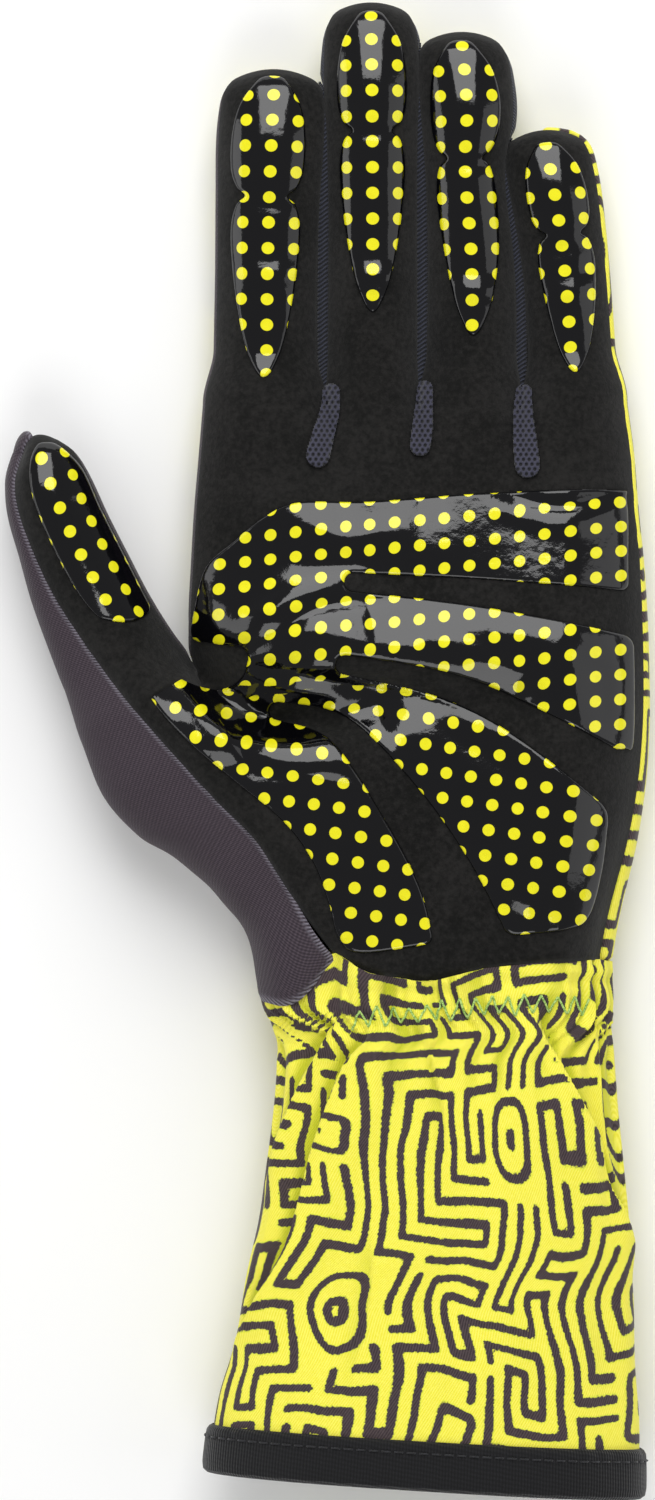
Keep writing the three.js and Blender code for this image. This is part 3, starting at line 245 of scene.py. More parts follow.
def line_distance(x, y, line):
    """Signed distance to a closed line, below 0 inside."""
    best, _ = run_distance(x, y, line, closed=True)
    inside = np.zeros(np.shape(x), bool)
    for a, b in zip(line, np.roll(line, -1, axis=0)):
        if a[1] != b[1]:
            inside ^= ((a[1] > y) != (b[1] > y)) & (x < a[0] + (b[0] - a[0]) * (y - a[1]) / (b[1] - a[1]))
    return np.where(inside, -best, best)


def unit(v):
    return v / np.maximum(np.linalg.norm(v, axis=-1, keepdims=True), 1e-12)


def looped(grid):
    """A grid whose first column is repeated as its last."""
    return np.concatenate([grid, grid[:, :1]], axis=1)


def soft_max(a, b, reach):
    h = np.maximum(reach - np.abs(a - b), 0) / reach
    return np.maximum(a, b) + h * h * reach / 4


def lengths(points, axis=0):
    """How far each point lies along its row of points."""
    step = np.linalg.norm(np.diff(points, axis=axis), axis=-1)
    return np.concatenate([np.zeros_like(step.take([0], axis=axis)), np.cumsum(step, axis=axis)], axis=axis)


def flat_values(u, v):
    """Cloth coordinates as vectors."""
    u, v = np.broadcast_arrays(u, v)
    return np.stack([u, v, 0 * u], axis=-1)


class Noise:
    """Smooth seeded noise between -1 and 1 in one to three dimensions."""

    def __init__(self, seed):
        self.grid = np.random.default_rng(seed).uniform(-1, 1, (32, 32, 32))

    def __call__(self, *coordinates):
        c = [np.asarray(v, float) for v in coordinates]
        c += [np.zeros_like(c[0])] * (3 - len(c))
        low = [np.floor(v).astype(int) for v in c]
        part = [ease(v - f) for v, f in zip(c, low)]
        total = 0
        for corner in range(8):
            bits = [(corner >> k) & 1 for k in range(3)]
            weight = 1
            for b, f in zip(bits, part):
                weight = weight * (f if b else 1 - f)
            total = total + weight * self.grid[tuple((l + b) % 32 for l, b in zip(low, bits))]
        return total


noise = Noise(7)


# The hand's surfaces

def relief(x, y):
    """Height of the broad ridges and creases."""
    height = np.zeros(np.shape(x))
    for ax, ay, bx, by, wide, high in RELIEF:
        far, _ = run_distance(x, y, np.array([palm_place(ax, ay), palm_place(bx, by)]))
        height += high * PALM_HEIGHT * np.exp(-((far / (wide * PALM_HEIGHT)) ** 2))
    return height


def folds(x, y):
    """Height of the finer folds."""
    height = np.zeros(np.shape(x))
    for places, wide, high in FOLDS:
        run = smooth_line(spots(places))
        far, along = run_distance(x, y, run)
        fade = 0.35 + 0.65 * np.sin(np.pi * np.clip(along / (len(run) - 1), 0.02, 0.98)) ** 0.7
        height += high * fade * np.exp(-((far / wide) ** 2))
    return height


WEB_ROW = round(WEB_AT * PALM_LENGTH / STEP)
ROOT_ROW = WEB_ROW + round((1 - WEB_AT) * PALM_LENGTH / STEP)
PALM_AT = np.concatenate([np.linspace(0, WEB_AT, WEB_ROW + 1), np.linspace(WEB_AT, 1, ROOT_ROW - WEB_ROW + 1)[1:]])


def palm_lines():
    """The seam lines up the palm: x, y and the heights over and under each, and the height of its crown."""
    s = rows_at(PALM, PALM_AT)
    shares = [s["left"]] + [lerp(w, r, PALM_AT) for w, r in FINGER_LINES] + [s["right"]]
    seams = [s["left_seam"]] + [s["valley"]] * 3 + [s["right_seam"]]
    opens = [ease((PALM_AT - 0.452) / 0.075)] + [ease((PALM_AT - 0.905) / 0.095)] * 3 + [np.ones_like(PALM_AT)]
    lines = []
    for share, seam, opening in zip(shares, seams, opens):
        x, y = palm_place(share, PALM_AT)
        across = (x - PALM_MIDDLE) / PALM_WIDTH
        sunk = WRIST_DIP * np.exp(-(((across - 0.02) / 0.1) ** 2))
        y = y + (WRIST_TILT * (across + 0.1) - sunk) * (1 - ease(PALM_AT / WRIST_FADE))
        lines.append(np.array([x, y, seam * PALM_HEIGHT, UNDER_SEAM * PALM_HEIGHT * opening]))
    return lines, s["crown"] * PALM_HEIGHT


def leaning(degrees):
    """The ways along and across a finger that leans."""
    lean = math.radians(degrees)
    along = np.array([-math.sin(lean), math.cos(lean)])
    return along[:, None], np.array([along[1], -along[0]])[:, None]


def free_finger(finger, root_left, root_right, root_crown):
    """A finger past the palm, its root blended into the seam lines there."""
    length, width, height = finger["length"], finger["width"] * FINGER_WIDTH, finger["height"] * FINGER_HEIGHT
    top = FINGER["at"][-1]
    at = np.concatenate([np.linspace(0, 0.93, round(top * length / STEP) + 1)[1:], np.linspace(0.93, top, 13)[1:]])
    s = rows_at(FINGER, np.maximum(at, FINGER["at"][0]))
    along, across = leaning(finger["lean"])
    base = (root_left[:2] + root_right[:2]) / 2
    own = ease(at * length / FLARE)
    half = lerp(np.hypot(*(root_right - root_left)[:2]) / 2, s["width"] * width / 2, own)
    lift = TIP_LIFT * at * at
    bow = finger["sweep"] * FINGER_WIDTH * 4 * at * (1 - at)
    centre = base[:, None] + along * at * length + across * bow
    pressed = s["press"] * finger["press"] * FINGER_WIDTH
    seam = s["seam"] * height
    under = lerp(root_left[3], s["under"] * height, own) + lift
    left = np.array([*(centre - across * half), lerp(root_left[2], seam, own) + lift, under])
    right = np.array([*(centre + across * (half - pressed)), lerp(root_right[2], seam, own) + lift, under])
    return dict(left=left, right=right, crown=lerp(root_crown, s["crown"] * height, own) + lift, floor=lift,
                bow=s["bow"] * width, along=at * length)


def finger_strips():
    """Each finger with the strip of palm below it, as rows of sections from the wrist to the tip."""
    lines, crown = palm_lines()
    nothing = np.zeros_like(crown)
    strips = []
    for finger, left, right in zip(FINGERS, lines, lines[1:]):
        free = free_finger(finger, left[:, -1], right[:, -1], crown[-1])
        palm = dict(left=left, right=right, crown=crown, floor=nothing, bow=nothing, along=(PALM_AT - 1) * PALM_LENGTH)
        strips.append({name: np.concatenate([palm[name], free[name]], axis=-1) for name in palm})
    return strips


def thumb_strip(index):
    """The thumb with its ball, as rows of sections from the wrist to the tip."""
    s = rows_at(THUMB_ROOT, PALM_AT[: WEB_ROW + 1] / WEB_AT)
    x, y = palm_place(s["x"], s["y"])
    left = np.array([x, y, s["seam"] * PALM_HEIGHT, s["under"] * PALM_HEIGHT])
    right = index["left"][:, : WEB_ROW + 1]
    base = (left[:2, -1] + right[:2, -1]) / 2
    along, across = leaning(THUMB_LEAN)
    first, top = THUMB["at"][0], THUMB["at"][-1]
    count = round((0.92 - first) * THUMB_LENGTH / STEP)
    far = np.concatenate([np.linspace(first, 0.92, count + 1), np.linspace(0.92, top, 13)[1:]])
    f = rows_at(THUMB, far)
    half = f["width"] * THUMB_WIDTH / 2
    lift = THUMB_LIFT * far
    centre = base[:, None] + along * far * THUMB_LENGTH
    centre = centre + across * THUMB_SWEEP * 4 * far * (1 - far)
    under = f["under"] * THUMB_HEIGHT + lift
    free_left = np.array([*(centre - across * half), f["seam"] * THUMB_HEIGHT + lift, under])
    free_right = np.array([*(centre + across * half), f["inner"] * THUMB_HEIGHT + lift, under])
    steps = round(first * THUMB_LENGTH / STEP)
    share = np.arange(1, steps) / steps
    span = first * THUMB_LENGTH

    def whole(a, b, bend=0.0):
        """Values of the root and the free thumb, joined between them smoothly where bend is 1."""
        leave = (a[..., -1] - a[..., -6]) / (5 * STEP * 1.6) * span * bend
        arrive = (b[..., 4] - b[..., 0]) / (4 * STEP) * span * bend
        straight = b[..., 0] - a[..., -1]
        leave, arrive = (np.asarray(lerp(straight, v, bend))[..., None] for v in (leave, arrive))
        bridge = curve(a[..., -1][..., None], b[..., 0][..., None], leave, arrive, share)
        return np.concatenate([a, bridge, b], axis=-1)

    nothing = np.zeros_like(x)
    return dict(
        left=whole(left, free_left, 0.8), right=whole(right, free_right),
        crown=whole(s["crown"] * PALM_HEIGHT, f["crown"] * THUMB_HEIGHT + lift, 0.5), floor=whole(nothing, lift),
        bow=whole(nothing, f["bow"] * THUMB_WIDTH), roll=whole(s["roll"] * THUMB_ROLL, f["roll"] * THUMB_ROLL, 0.6),
        aim=np.radians(whole(s["aim"], np.full_like(far, THUMB_LEAN))),
        along=whole(-np.hypot(x - x[-1], y - y[-1]), far * THUMB_LENGTH))


def cut_strip(strip, rows):
    return {name: column[..., rows] for name, column in strip.items()}


def section_grid(strip, t, side):
    """Points of a strip at places t across it, from -1 on the thumb side to 1, on the palm's or the back's side."""
    t = np.asarray(t, float)[None, :]
    left, right = strip["left"][..., None], strip["right"][..., None]
    x, y, seam, under = lerp(left, right, (t + 1) / 2)
    across = (right - left)[:2]
    across = across / np.maximum(np.hypot(*across), 1e-9)
    bow = strip["bow"][:, None] * t * t
    x, y = x + across[1] * bow, y - across[0] * bow
    if side == "top":
        dome = 1 - np.abs(t) ** 2.3
        z = seam + (strip["crown"][:, None] - (left[2] + right[2]) / 2) * dome
        z = z + relief(x, y) + folds(x, y)
    else:
        flat = 1 - np.maximum(0, (np.abs(t) - 0.45) / 0.55) ** 1.6
        z = lerp(under, strip["floor"][:, None], flat)
    return np.stack([x, y, z], axis=-1)


fingers = finger_strips()
index_strip, middle_strip, ring_strip, little_strip = fingers
thumb = thumb_strip(index_strip)
T = np.linspace(-1, 1, COLUMNS + 1)
T = 0.8 * T + 0.2 * np.sin(np.pi * T / 2)


def top_surface():
    """The palm's side of every strip, the valleys between the strips smoothed out below the fingers."""
    grids = [section_grid(strip, T, "top") for strip in (thumb, *fingers)]
    half = 14
    kernel = np.exp(-((np.arange(-half, half + 1) / 5.5) ** 2))
    kernel /= kernel.sum()
    for row in range(ROOT_ROW + 1):
        across = grids[0 if row <= WEB_ROW else 1:]
        line = np.concatenate([grid[row][(1 if i else 0):] for i, grid in enumerate(across)])
        fine = folds(line[:, 0], line[:, 1])
        base = line[:, 2] - fine
        smooth = np.convolve(np.pad(base, half, mode="edge"), kernel, mode="valid")
        place = np.arange(len(line))
        share = ease((ROOT_ROW - row) * STEP / 16) * ease(np.minimum(place, place[::-1]) / 10)
        if row <= WEB_ROW:
            share = share * (1 - ease((row - WEB_ROW + 14) / 14) * np.exp(-(((place - COLUMNS) / 7) ** 2)))
        height = lerp(base, smooth, share) + fine
        for i, grid in enumerate(across):
            grid[row, :, 2] = height[i * COLUMNS:(i + 1) * COLUMNS + 1]
    return grids


TOP = top_surface()


# Meshes as arrays

class Sheet:
    """Points, triangles facing out, and values carried by the points."""

    def __init__(self, points, tris, **values):
        self.points, self.tris, self.values = points, tris, values

    def normals(self):
        n = np.zeros_like(self.points)
        a, b, c = (self.points[self.tris[:, k]] for k in range(3))
        face = np.cross(b - a, c - a)
        for k in range(3):
            np.add.at(n, self.tris[:, k], face)
        return unit(n)

    def free_edges(self):
        count = len(self.points)
        pairs = np.concatenate([self.tris[:, [0, 1]], self.tris[:, [1, 2]], self.tris[:, [2, 0]]])
        keys = pairs[:, 0] * count + pairs[:, 1]
        return pairs[~np.isin(keys, pairs[:, 1] * count + pairs[:, 0])]

    def moved(self, step):
        """The same sheet with its points moved."""
        return Sheet(self.points + step, self.tris, **self.values)

    def edge_distance(self, most=2.5):
        """Distance of each point to the sheet's free edges, no more than most."""
        edges = self.free_edges()
        tree = KDTree(len(edges))
        for i, middle in enumerate(self.points[edges].mean(axis=1)):
            tree.insert(middle, i)
        tree.balance()
        out = np.full(len(self.points), most)
        for i, p in enumerate(self.points):
            for _, e, far in tree.find_n(p, 2):
                if far > most + 1.5:
                    break
                a, b = self.points[edges[e, 0]], self.points[edges[e, 1]]
                s = min(max((p - a) @ (b - a) / max((b - a) @ (b - a), 1e-9), 0), 1)
                out[i] = min(out[i], np.linalg.norm(p - a - s * (b - a)))
        return out


def quads(ids):
    """Two triangles for each cell of a grid of point numbers."""
    a, b, c, d = ids[:-1, :-1].ravel(), ids[:-1, 1:].ravel(), ids[1:, 1:].ravel(), ids[1:, :-1].ravel()
    return np.concatenate([np.column_stack([a, b, c]), np.column_stack([a, c, d])])


def weld(grids, **values):
    """One sheet from grids of points whose shared lines agree."""
    tris, start = [], 0
    for grid in grids:
        count = grid[..., 0].size
        tris.append(quads(np.arange(count).reshape(grid.shape[:2]) + start))
        start += count
    points, tris = np.concatenate([grid.reshape(-1, 3) for grid in grids]), np.concatenate(tris)
    _, first, place = np.unique(np.round(points, 3), axis=0, return_index=True, return_inverse=True)
    tris = place.ravel()[tris]
    sound = (tris[:, 0] != tris[:, 1]) & (tris[:, 1] != tris[:, 2]) & (tris[:, 2] != tris[:, 0])
    kept = {}
    for name, parts in values.items():
        rows = [part.reshape(grid[..., 0].size, -1) for part, grid in zip(parts, grids)]
        kept[name] = np.concatenate(rows)[first]
    return Sheet(points[first], tris[sound], **kept)


def shell(sheet, upper, lower, normals=None):
    """The closed body between two heights over a sheet, its upper side first."""
    n = sheet.normals() if normals is None else normals
    high = np.broadcast_to(np.asarray(upper, float), len(n))[:, None]
    low = np.broadcast_to(np.asarray(lower, float), len(n))[:, None]
    count = len(n)
    edges = sheet.free_edges()
    a, b = edges[:, 0], edges[:, 1]
    tris = np.concatenate([
        sheet.tris, sheet.tris[:, ::-1] + count,
        np.column_stack([b, a, a + count]), np.column_stack([b, a + count, b + count])])
    values = {name: np.concatenate([v, v]) for name, v in sheet.values.items()}
    return Sheet(np.concatenate([sheet.points + n * high, sheet.points + n * low]), tris, **values)


def tube(path, radius, sides=6):
    """A thread along a path, with its length and its turn as cloth values."""
    path = np.asarray(path, float)
    way = unit(np.gradient(path, axis=0))
    side = np.cross(way, [0.0, 0.0, 1.0])
    flat = np.linalg.norm(side, axis=1) < 1e-3
    side[flat] = np.cross(way[flat], [1.0, 0.0, 0.0])
    side = unit(side)
    up = np.cross(side, way)
    radius = np.broadcast_to(np.asarray(radius, float), len(path))[:, None]
    turns = np.arange(sides) * 2 * math.pi / sides
    grid = np.stack([path + radius * (side * math.cos(a) + up * math.sin(a)) for a in turns], axis=1)
    count = len(path) * sides
    ids = looped(np.arange(count).reshape(len(path), sides))
    ends = []
    for tip, a, b in ((count, ids[0, :-1], ids[0, 1:]), (count + 1, ids[-1, 1:], ids[-1, :-1])):
        ends.append(np.column_stack([np.full(sides, tip), a, b]))
    points = np.concatenate([grid.reshape(-1, 3), path[:1], path[-1:]])
    cloth = flat_values(lengths(path)[:, None], np.arange(sides) * 1.2).reshape(-1, 3)
    tris = np.concatenate([quads(ids)[:, ::-1], *ends])
    return Sheet(points, tris, cloth=np.concatenate([cloth, cloth[:1], cloth[-1:]]))


def together(sheets):
    starts = np.cumsum([0] + [len(s.points) for s in sheets])
    tris = [s.tris + start for s, start in zip(sheets, starts)]
    return Sheet(np.concatenate([s.points for s in sheets]), np.concatenate(tris))


def placed(name, data):
    """A new object of the scene."""
    thing = bpy.data.objects.new(name, data)
    bpy.context.collection.objects.link(thing)
    return thing


def piece(name, sheet, material, nodes=(), sharp=40):
    """A Blender object from a sheet, in metres in the frame, riding on its only body."""
    mesh = bpy.data.meshes.new(name)
    points = ((sheet.points + SHIFT) * 0.001).astype(np.float32)
    tris = sheet.tris.astype(np.int32)
    mesh.vertices.add(len(points))
    mesh.vertices.foreach_set("co", points.ravel())
    mesh.loops.add(tris.size)
    mesh.loops.foreach_set("vertex_index", tris.ravel())
    mesh.polygons.add(len(tris))
    mesh.polygons.foreach_set("loop_start", np.arange(0, tris.size, 3, dtype=np.int32))
    mesh.polygons.foreach_set("loop_total", np.full(len(tris), 3, dtype=np.int32))
    mesh.polygons.foreach_set("use_smooth", np.ones(len(tris), bool))
    for key, v in sheet.values.items():
        v = np.asarray(v, np.float32).reshape(len(points), -1)
        if v.shape[1] == 1:
            mesh.attributes.new(key, "FLOAT", "POINT").data.foreach_set("value", v.ravel())
        else:
            mesh.attributes.new(key, "FLOAT_VECTOR", "POINT").data.foreach_set("vector", v.ravel())
    mesh.update()
    mesh.validate()
    if sharp:
        mesh.set_sharp_from_angle(angle=math.radians(sharp))
    mesh.materials.append(material)
    thing = placed(name, mesh)
    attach(thing, "root")
    if nodes:
        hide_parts(*nodes)


# Materials

class Look:
    """A material and short calls for its nodes."""

    def __init__(self, name):
        self.material = bpy.data.materials.new(name)
        self.material.use_nodes = True
        self.tree = self.material.node_tree
        self.shader = self.tree.nodes["Principled BSDF"]

    def set(self, **sockets):
        for name, value in sockets.items():
            self.shader.inputs[name.replace("_", " ")].default_value = value

    def feed(self, socket, value):
        if isinstance(value, bpy.types.NodeSocket):
            self.tree.links.new(value, socket)
        else:
            socket.default_value = value

    def add(self, kind, settings=None, **inputs):
        """A node; its inputs are named, or numbered as i0, i1 and so on."""
        node = self.tree.nodes.new(kind)
        for name, value in (settings or {}).items():
            setattr(node, name, value)
        for name, value in inputs.items():
            key = int(name[1:]) if name[0] == "i" and name[1:].isdigit() else name.replace("_", " ")
            self.feed(node.inputs[key], value)
        return node

    def math(self, operation, a, b=0.0):
        return self.add("ShaderNodeMath", {"operation": operation}, i0=a, i1=b).outputs[0]

    def plus(self, a, b):
        return self.math("ADD", a, b)

    def times(self, a, b):
        return self.math("MULTIPLY", a, b)

    def blend(self, a, part_a, b, part_b):
        """The sum of two values, each times its part."""
        return self.plus(self.times(a, part_a), self.times(b, part_b))

    def vector_math(self, operation, a, b=(0, 0, 0)):
        return self.add("ShaderNodeVectorMath", {"operation": operation}, i0=a, i1=b).outputs[0]

    def parts(self, vector):
        return self.add("ShaderNodeSeparateXYZ", Vector=vector).outputs

    def value(self, name):
        """A number that the mesh carries."""
        return self.add("ShaderNodeAttribute", {"attribute_name": name}).outputs["Fac"]

    def vector(self, name):
        """A vector that the mesh carries."""
        return self.add("ShaderNodeAttribute", {"attribute_name": name}).outputs["Vector"]

    def place(self):
        return self.add("ShaderNodeTexCoord").outputs["Object"]

    def noise(self, scale, detail=2.0, rough=0.5):
        node = self.add("ShaderNodeTexNoise", Scale=scale, Detail=detail, Roughness=rough, Vector=self.place())
        return node.outputs["Fac"]

    def ramp(self, value, low, high, to_low=0.0, to_high=1.0):
        return self.add("ShaderNodeMapRange", {"interpolation_type": "SMOOTHSTEP"}, Value=value, From_Min=low,
                        From_Max=high, To_Min=to_low, To_Max=to_high).outputs[0]

    def ribs(self, vector, pitch, degrees):
        """Fine parallel ribs, from 0 to 1, over millimetre coordinates."""
        turned = self.add("ShaderNodeVectorRotate", {"rotation_type": "Z_AXIS"}, Vector=vector,
                          Angle=math.radians(degrees))
        return self.wave(self.parts(turned.outputs[0])[0], pitch)

    def wave(self, along, pitch):
        """A wave from 0 to 1 along a length."""
        return self.blend(self.math("SINE", self.times(along, 2 * math.pi / pitch)), 0.5, 0.5, 1.0)

    def mix(self, share, a, b):
        return self.add("ShaderNodeMix", {"data_type": "RGBA", "blend_type": "MIX"}, i0=share, i6=a, i7=b).outputs[2]

    def bump(self, height, distance, strength=1.0, after=None):
        node = self.add("ShaderNodeBump", Height=height, Distance=distance, Strength=strength)
        if after is not None:
            self.tree.links.new(after, node.inputs["Normal"])
        return node.outputs[0]

    def finish(self, color, rough, normal=None):
        self.feed(self.shader.inputs["Base Color"], color)
        self.feed(self.shader.inputs["Roughness"], rough)
        if normal is not None:
            self.tree.links.new(normal, self.shader.inputs["Normal"])
        return self.material


def rgb(r, g, b):
    """Linear colour of a screen colour."""
    return tuple((v / 255 / 12.92 if v <= 10 else ((v / 255 + 0.055) / 1.055) ** 2.4) for v in (r, g, b)) + (1.0,)


def suede_look():
    look = Look("suede")
    nap = look.noise(900, 3.0, 0.65)
    tone = look.ramp(look.blend(nap, 0.6, look.noise(70, 4.0, 0.6), 0.4), 0.35, 0.68)
    # Lighter within 0.9 mm of the suede's edges
    paler_edge = look.times(look.ramp(look.value("edge"), 0.0, 0.9, 1.0, 0.0), 0.5)
    color = look.mix(paler_edge, look.mix(tone, rgb(11, 11, 10), rgb(35, 34, 33)), rgb(52, 52, 52))
    normal = look.bump(look.noise(3200, 2.0, 0.7), 0.00012, 0.5, look.bump(nap, 0.0003, 0.45))
    look.set(Sheen_Weight=0.1, Sheen_Roughness=0.55, Specular_IOR_Level=0.1)
    return look.finish(color, look.ramp(nap, 0.3, 0.7, 0.82, 0.98), normal)


def crossed_weave(look, ribs, cross, grain):
    """Ribs with weaker grained ribs across them, both as pitch and degrees."""
    cloth = look.vector("cloth")
    return look.blend(look.ribs(cloth, *ribs), 0.6, look.times(look.ribs(cloth, *cross), grain), 0.8)


def charcoal_look():
    look = Look("charcoal_cloth")
    weave = crossed_weave(look, (0.46, 38), (0.7, -52), look.noise(1500, 3.0, 0.7))
    tick = look.ribs(look.vector("cloth"), 0.62, 62)
    near = look.ramp(look.value("edge"), 0.15, 1.3, 1.0, 0.0)
    color = look.mix(look.ramp(weave, 0.1, 1.1), rgb(50, 43, 50), rgb(80, 70, 78))
    color = look.mix(look.times(near, look.times(tick, 0.75)), color, rgb(150, 146, 158))
    normal = look.bump(weave, 0.00016, 0.7, look.bump(look.times(near, tick), 0.0003, 0.6))
    look.set(Sheen_Weight=0.15, Sheen_Roughness=0.4, Specular_IOR_Level=0.2)
    return look.finish(color, 0.78, normal)


def tape_look():
    look = Look("binding_tape")
    weave = crossed_weave(look, (0.62, 0), (0.9, 82), look.noise(1800, 3.0, 0.7))
    color = look.mix(look.ramp(weave, 0.1, 1.1), rgb(7, 7, 9), rgb(25, 25, 28))
    look.set(Sheen_Weight=0.2, Sheen_Roughness=0.5, Specular_IOR_Level=0.25)
    return look.finish(color, 0.85, look.bump(weave, 0.0002, 0.7))


def printed_look():
    look = Look("printed_cloth")
    fray = look.times(look.math("SUBTRACT", look.noise(1700, 2.0, 0.6), 0.5), 0.8)
    line = look.plus(look.value("print"), fray)
    ink = look.ramp(line, -0.12, 0.14, 1.0, 0.0)
    halo = look.ramp(line, 0.1, 0.5, 1.0, 0.0)
    weave = look.blend(look.ribs(look.vector("cloth"), 0.5, 30), 0.5, look.noise(1200, 3.0, 0.7), 0.7)
    yellow = look.mix(look.ramp(weave, 0.2, 1.0), rgb(240, 231, 58), rgb(254, 246, 102))
    yellow = look.mix(look.times(halo, 0.35), yellow, rgb(205, 230, 40))
    # Painted shade: the yellow turns olive where the cuff's folds sink; the cuff's inner side is dulled by the same
    # value
    yellow = look.mix(look.times(look.value("shade"), 0.7), yellow, rgb(176, 186, 8))
    dark = look.mix(look.ramp(weave, 0.2, 0.9), rgb(48, 38, 42), rgb(80, 68, 70))
    look.set(Sheen_Weight=0.12, Sheen_Roughness=0.5, Specular_IOR_Level=0.25)
    return look.finish(look.mix(ink, yellow, dark), 0.8, look.bump(weave, 0.00016, 0.55))


def grip_look():
    look = Look("grip_rubber")
    dots = look.vector("dots")
    x, y, _ = look.parts(look.vector_math("SUBTRACT", look.vector_math("FRACTION", dots), (0.5, 0.5, 0.0)))
    away = look.math("SQRT", look.plus(look.times(x, x), look.times(y, y)))
    blank = look.ramp(look.parts(dots)[2], 0.02, 0.2, 1.0, 0.0)
    dot = look.times(look.ramp(away, 0.226, 0.246, 1.0, 0.0), blank)
    yellow = look.mix(look.noise(800, 2.0, 0.5), rgb(228, 220, 20), rgb(244, 238, 36))
    ripple, swell = look.noise(700, 3.0, 0.55), look.noise(160, 2.0, 0.5)
    normal = look.bump(ripple, 0.00006, 0.55, look.bump(swell, 0.0003, 0.4))
    look.set(Specular_IOR_Level=0.48, Coat_Weight=0.08, Coat_Roughness=0.03)
    return look.finish(look.mix(dot, rgb(5, 5, 8), yellow), look.ramp(dot, 0, 1, 0.07, 0.12), normal)


def side_look():
    look = Look("side_cloth")
    cloth = look.vector("cloth")
    rib = look.ribs(cloth, 0.55, 20)
    stitch = look.times(look.ribs(cloth, 0.9, 30), look.ramp(look.value("edge"), 0.3, 1.6, 1.0, 0.0))
    color = look.mix(look.times(rib, look.noise(1600, 2.0, 0.6)), rgb(20, 22, 31), rgb(60, 64, 82))
    color = look.mix(look.times(stitch, 0.6), color, rgb(70, 74, 94))
    look.set(Sheen_Weight=0.2, Sheen_Roughness=0.5, Specular_IOR_Level=0.25)
    return look.finish(color, 0.8, look.bump(look.plus(rib, stitch), 0.00025, 0.8))


def cord_look():
    """Overlocked edges, the thread wound aslant."""
    look = Look("overlocked_edge")
    wound = look.plus(look.parts(look.vector("cloth"))[0], look.times(look.parts(look.place())[0], 700.0))
    thread = look.wave(wound, 0.9)
    look.set(Sheen_Weight=0.15, Specular_IOR_Level=0.3)
    return look.finish(look.mix(thread, rgb(9, 10, 14), rgb(50, 53, 67)), 0.7, look.bump(thread, 0.0003, 0.9))


def mesh_look():
    look = Look("knit_mesh")
    fuzz = look.noise(2600, 2.0, 0.6)
    # The knit's holes are painted near black: the dark cloth seen through them, with painted shade in them
    color = look.mix(look.ramp(look.value("thread"), 0.15, 0.95), rgb(8, 8, 13), rgb(60, 60, 78))
    color = look.mix(look.times(fuzz, 0.4), color, rgb(30, 30, 40))
    look.set(Sheen_Weight=0.3, Specular_IOR_Level=0.3)
    return look.finish(color, 0.75, look.bump(fuzz, 0.0001, 0.6))


def thread_look(name, low, high):
    look = Look(name)
    twist = look.noise(2400, 2.0, 0.6)
    look.set(Sheen_Weight=0.2, Specular_IOR_Level=0.35)
    return look.finish(look.mix(look.ramp(twist, 0.35, 0.65), low, high), 0.6, look.bump(twist, 0.00008, 0.7))


SUEDE = suede_look()
CHARCOAL = charcoal_look()
PRINTED = printed_look()
GRIP = grip_look()
SIDE = side_look()
CORD = cord_look()
KNIT = mesh_look()
TAPE = tape_look()
GREEN_THREAD = thread_look("green_thread", rgb(120, 165, 70), rgb(196, 226, 130))
DARK_THREAD = thread_look("dark_thread", rgb(8, 8, 11), rgb(30, 31, 37))


# Maze print: one winding line round a random tree, on a lattice of millimetre pitch

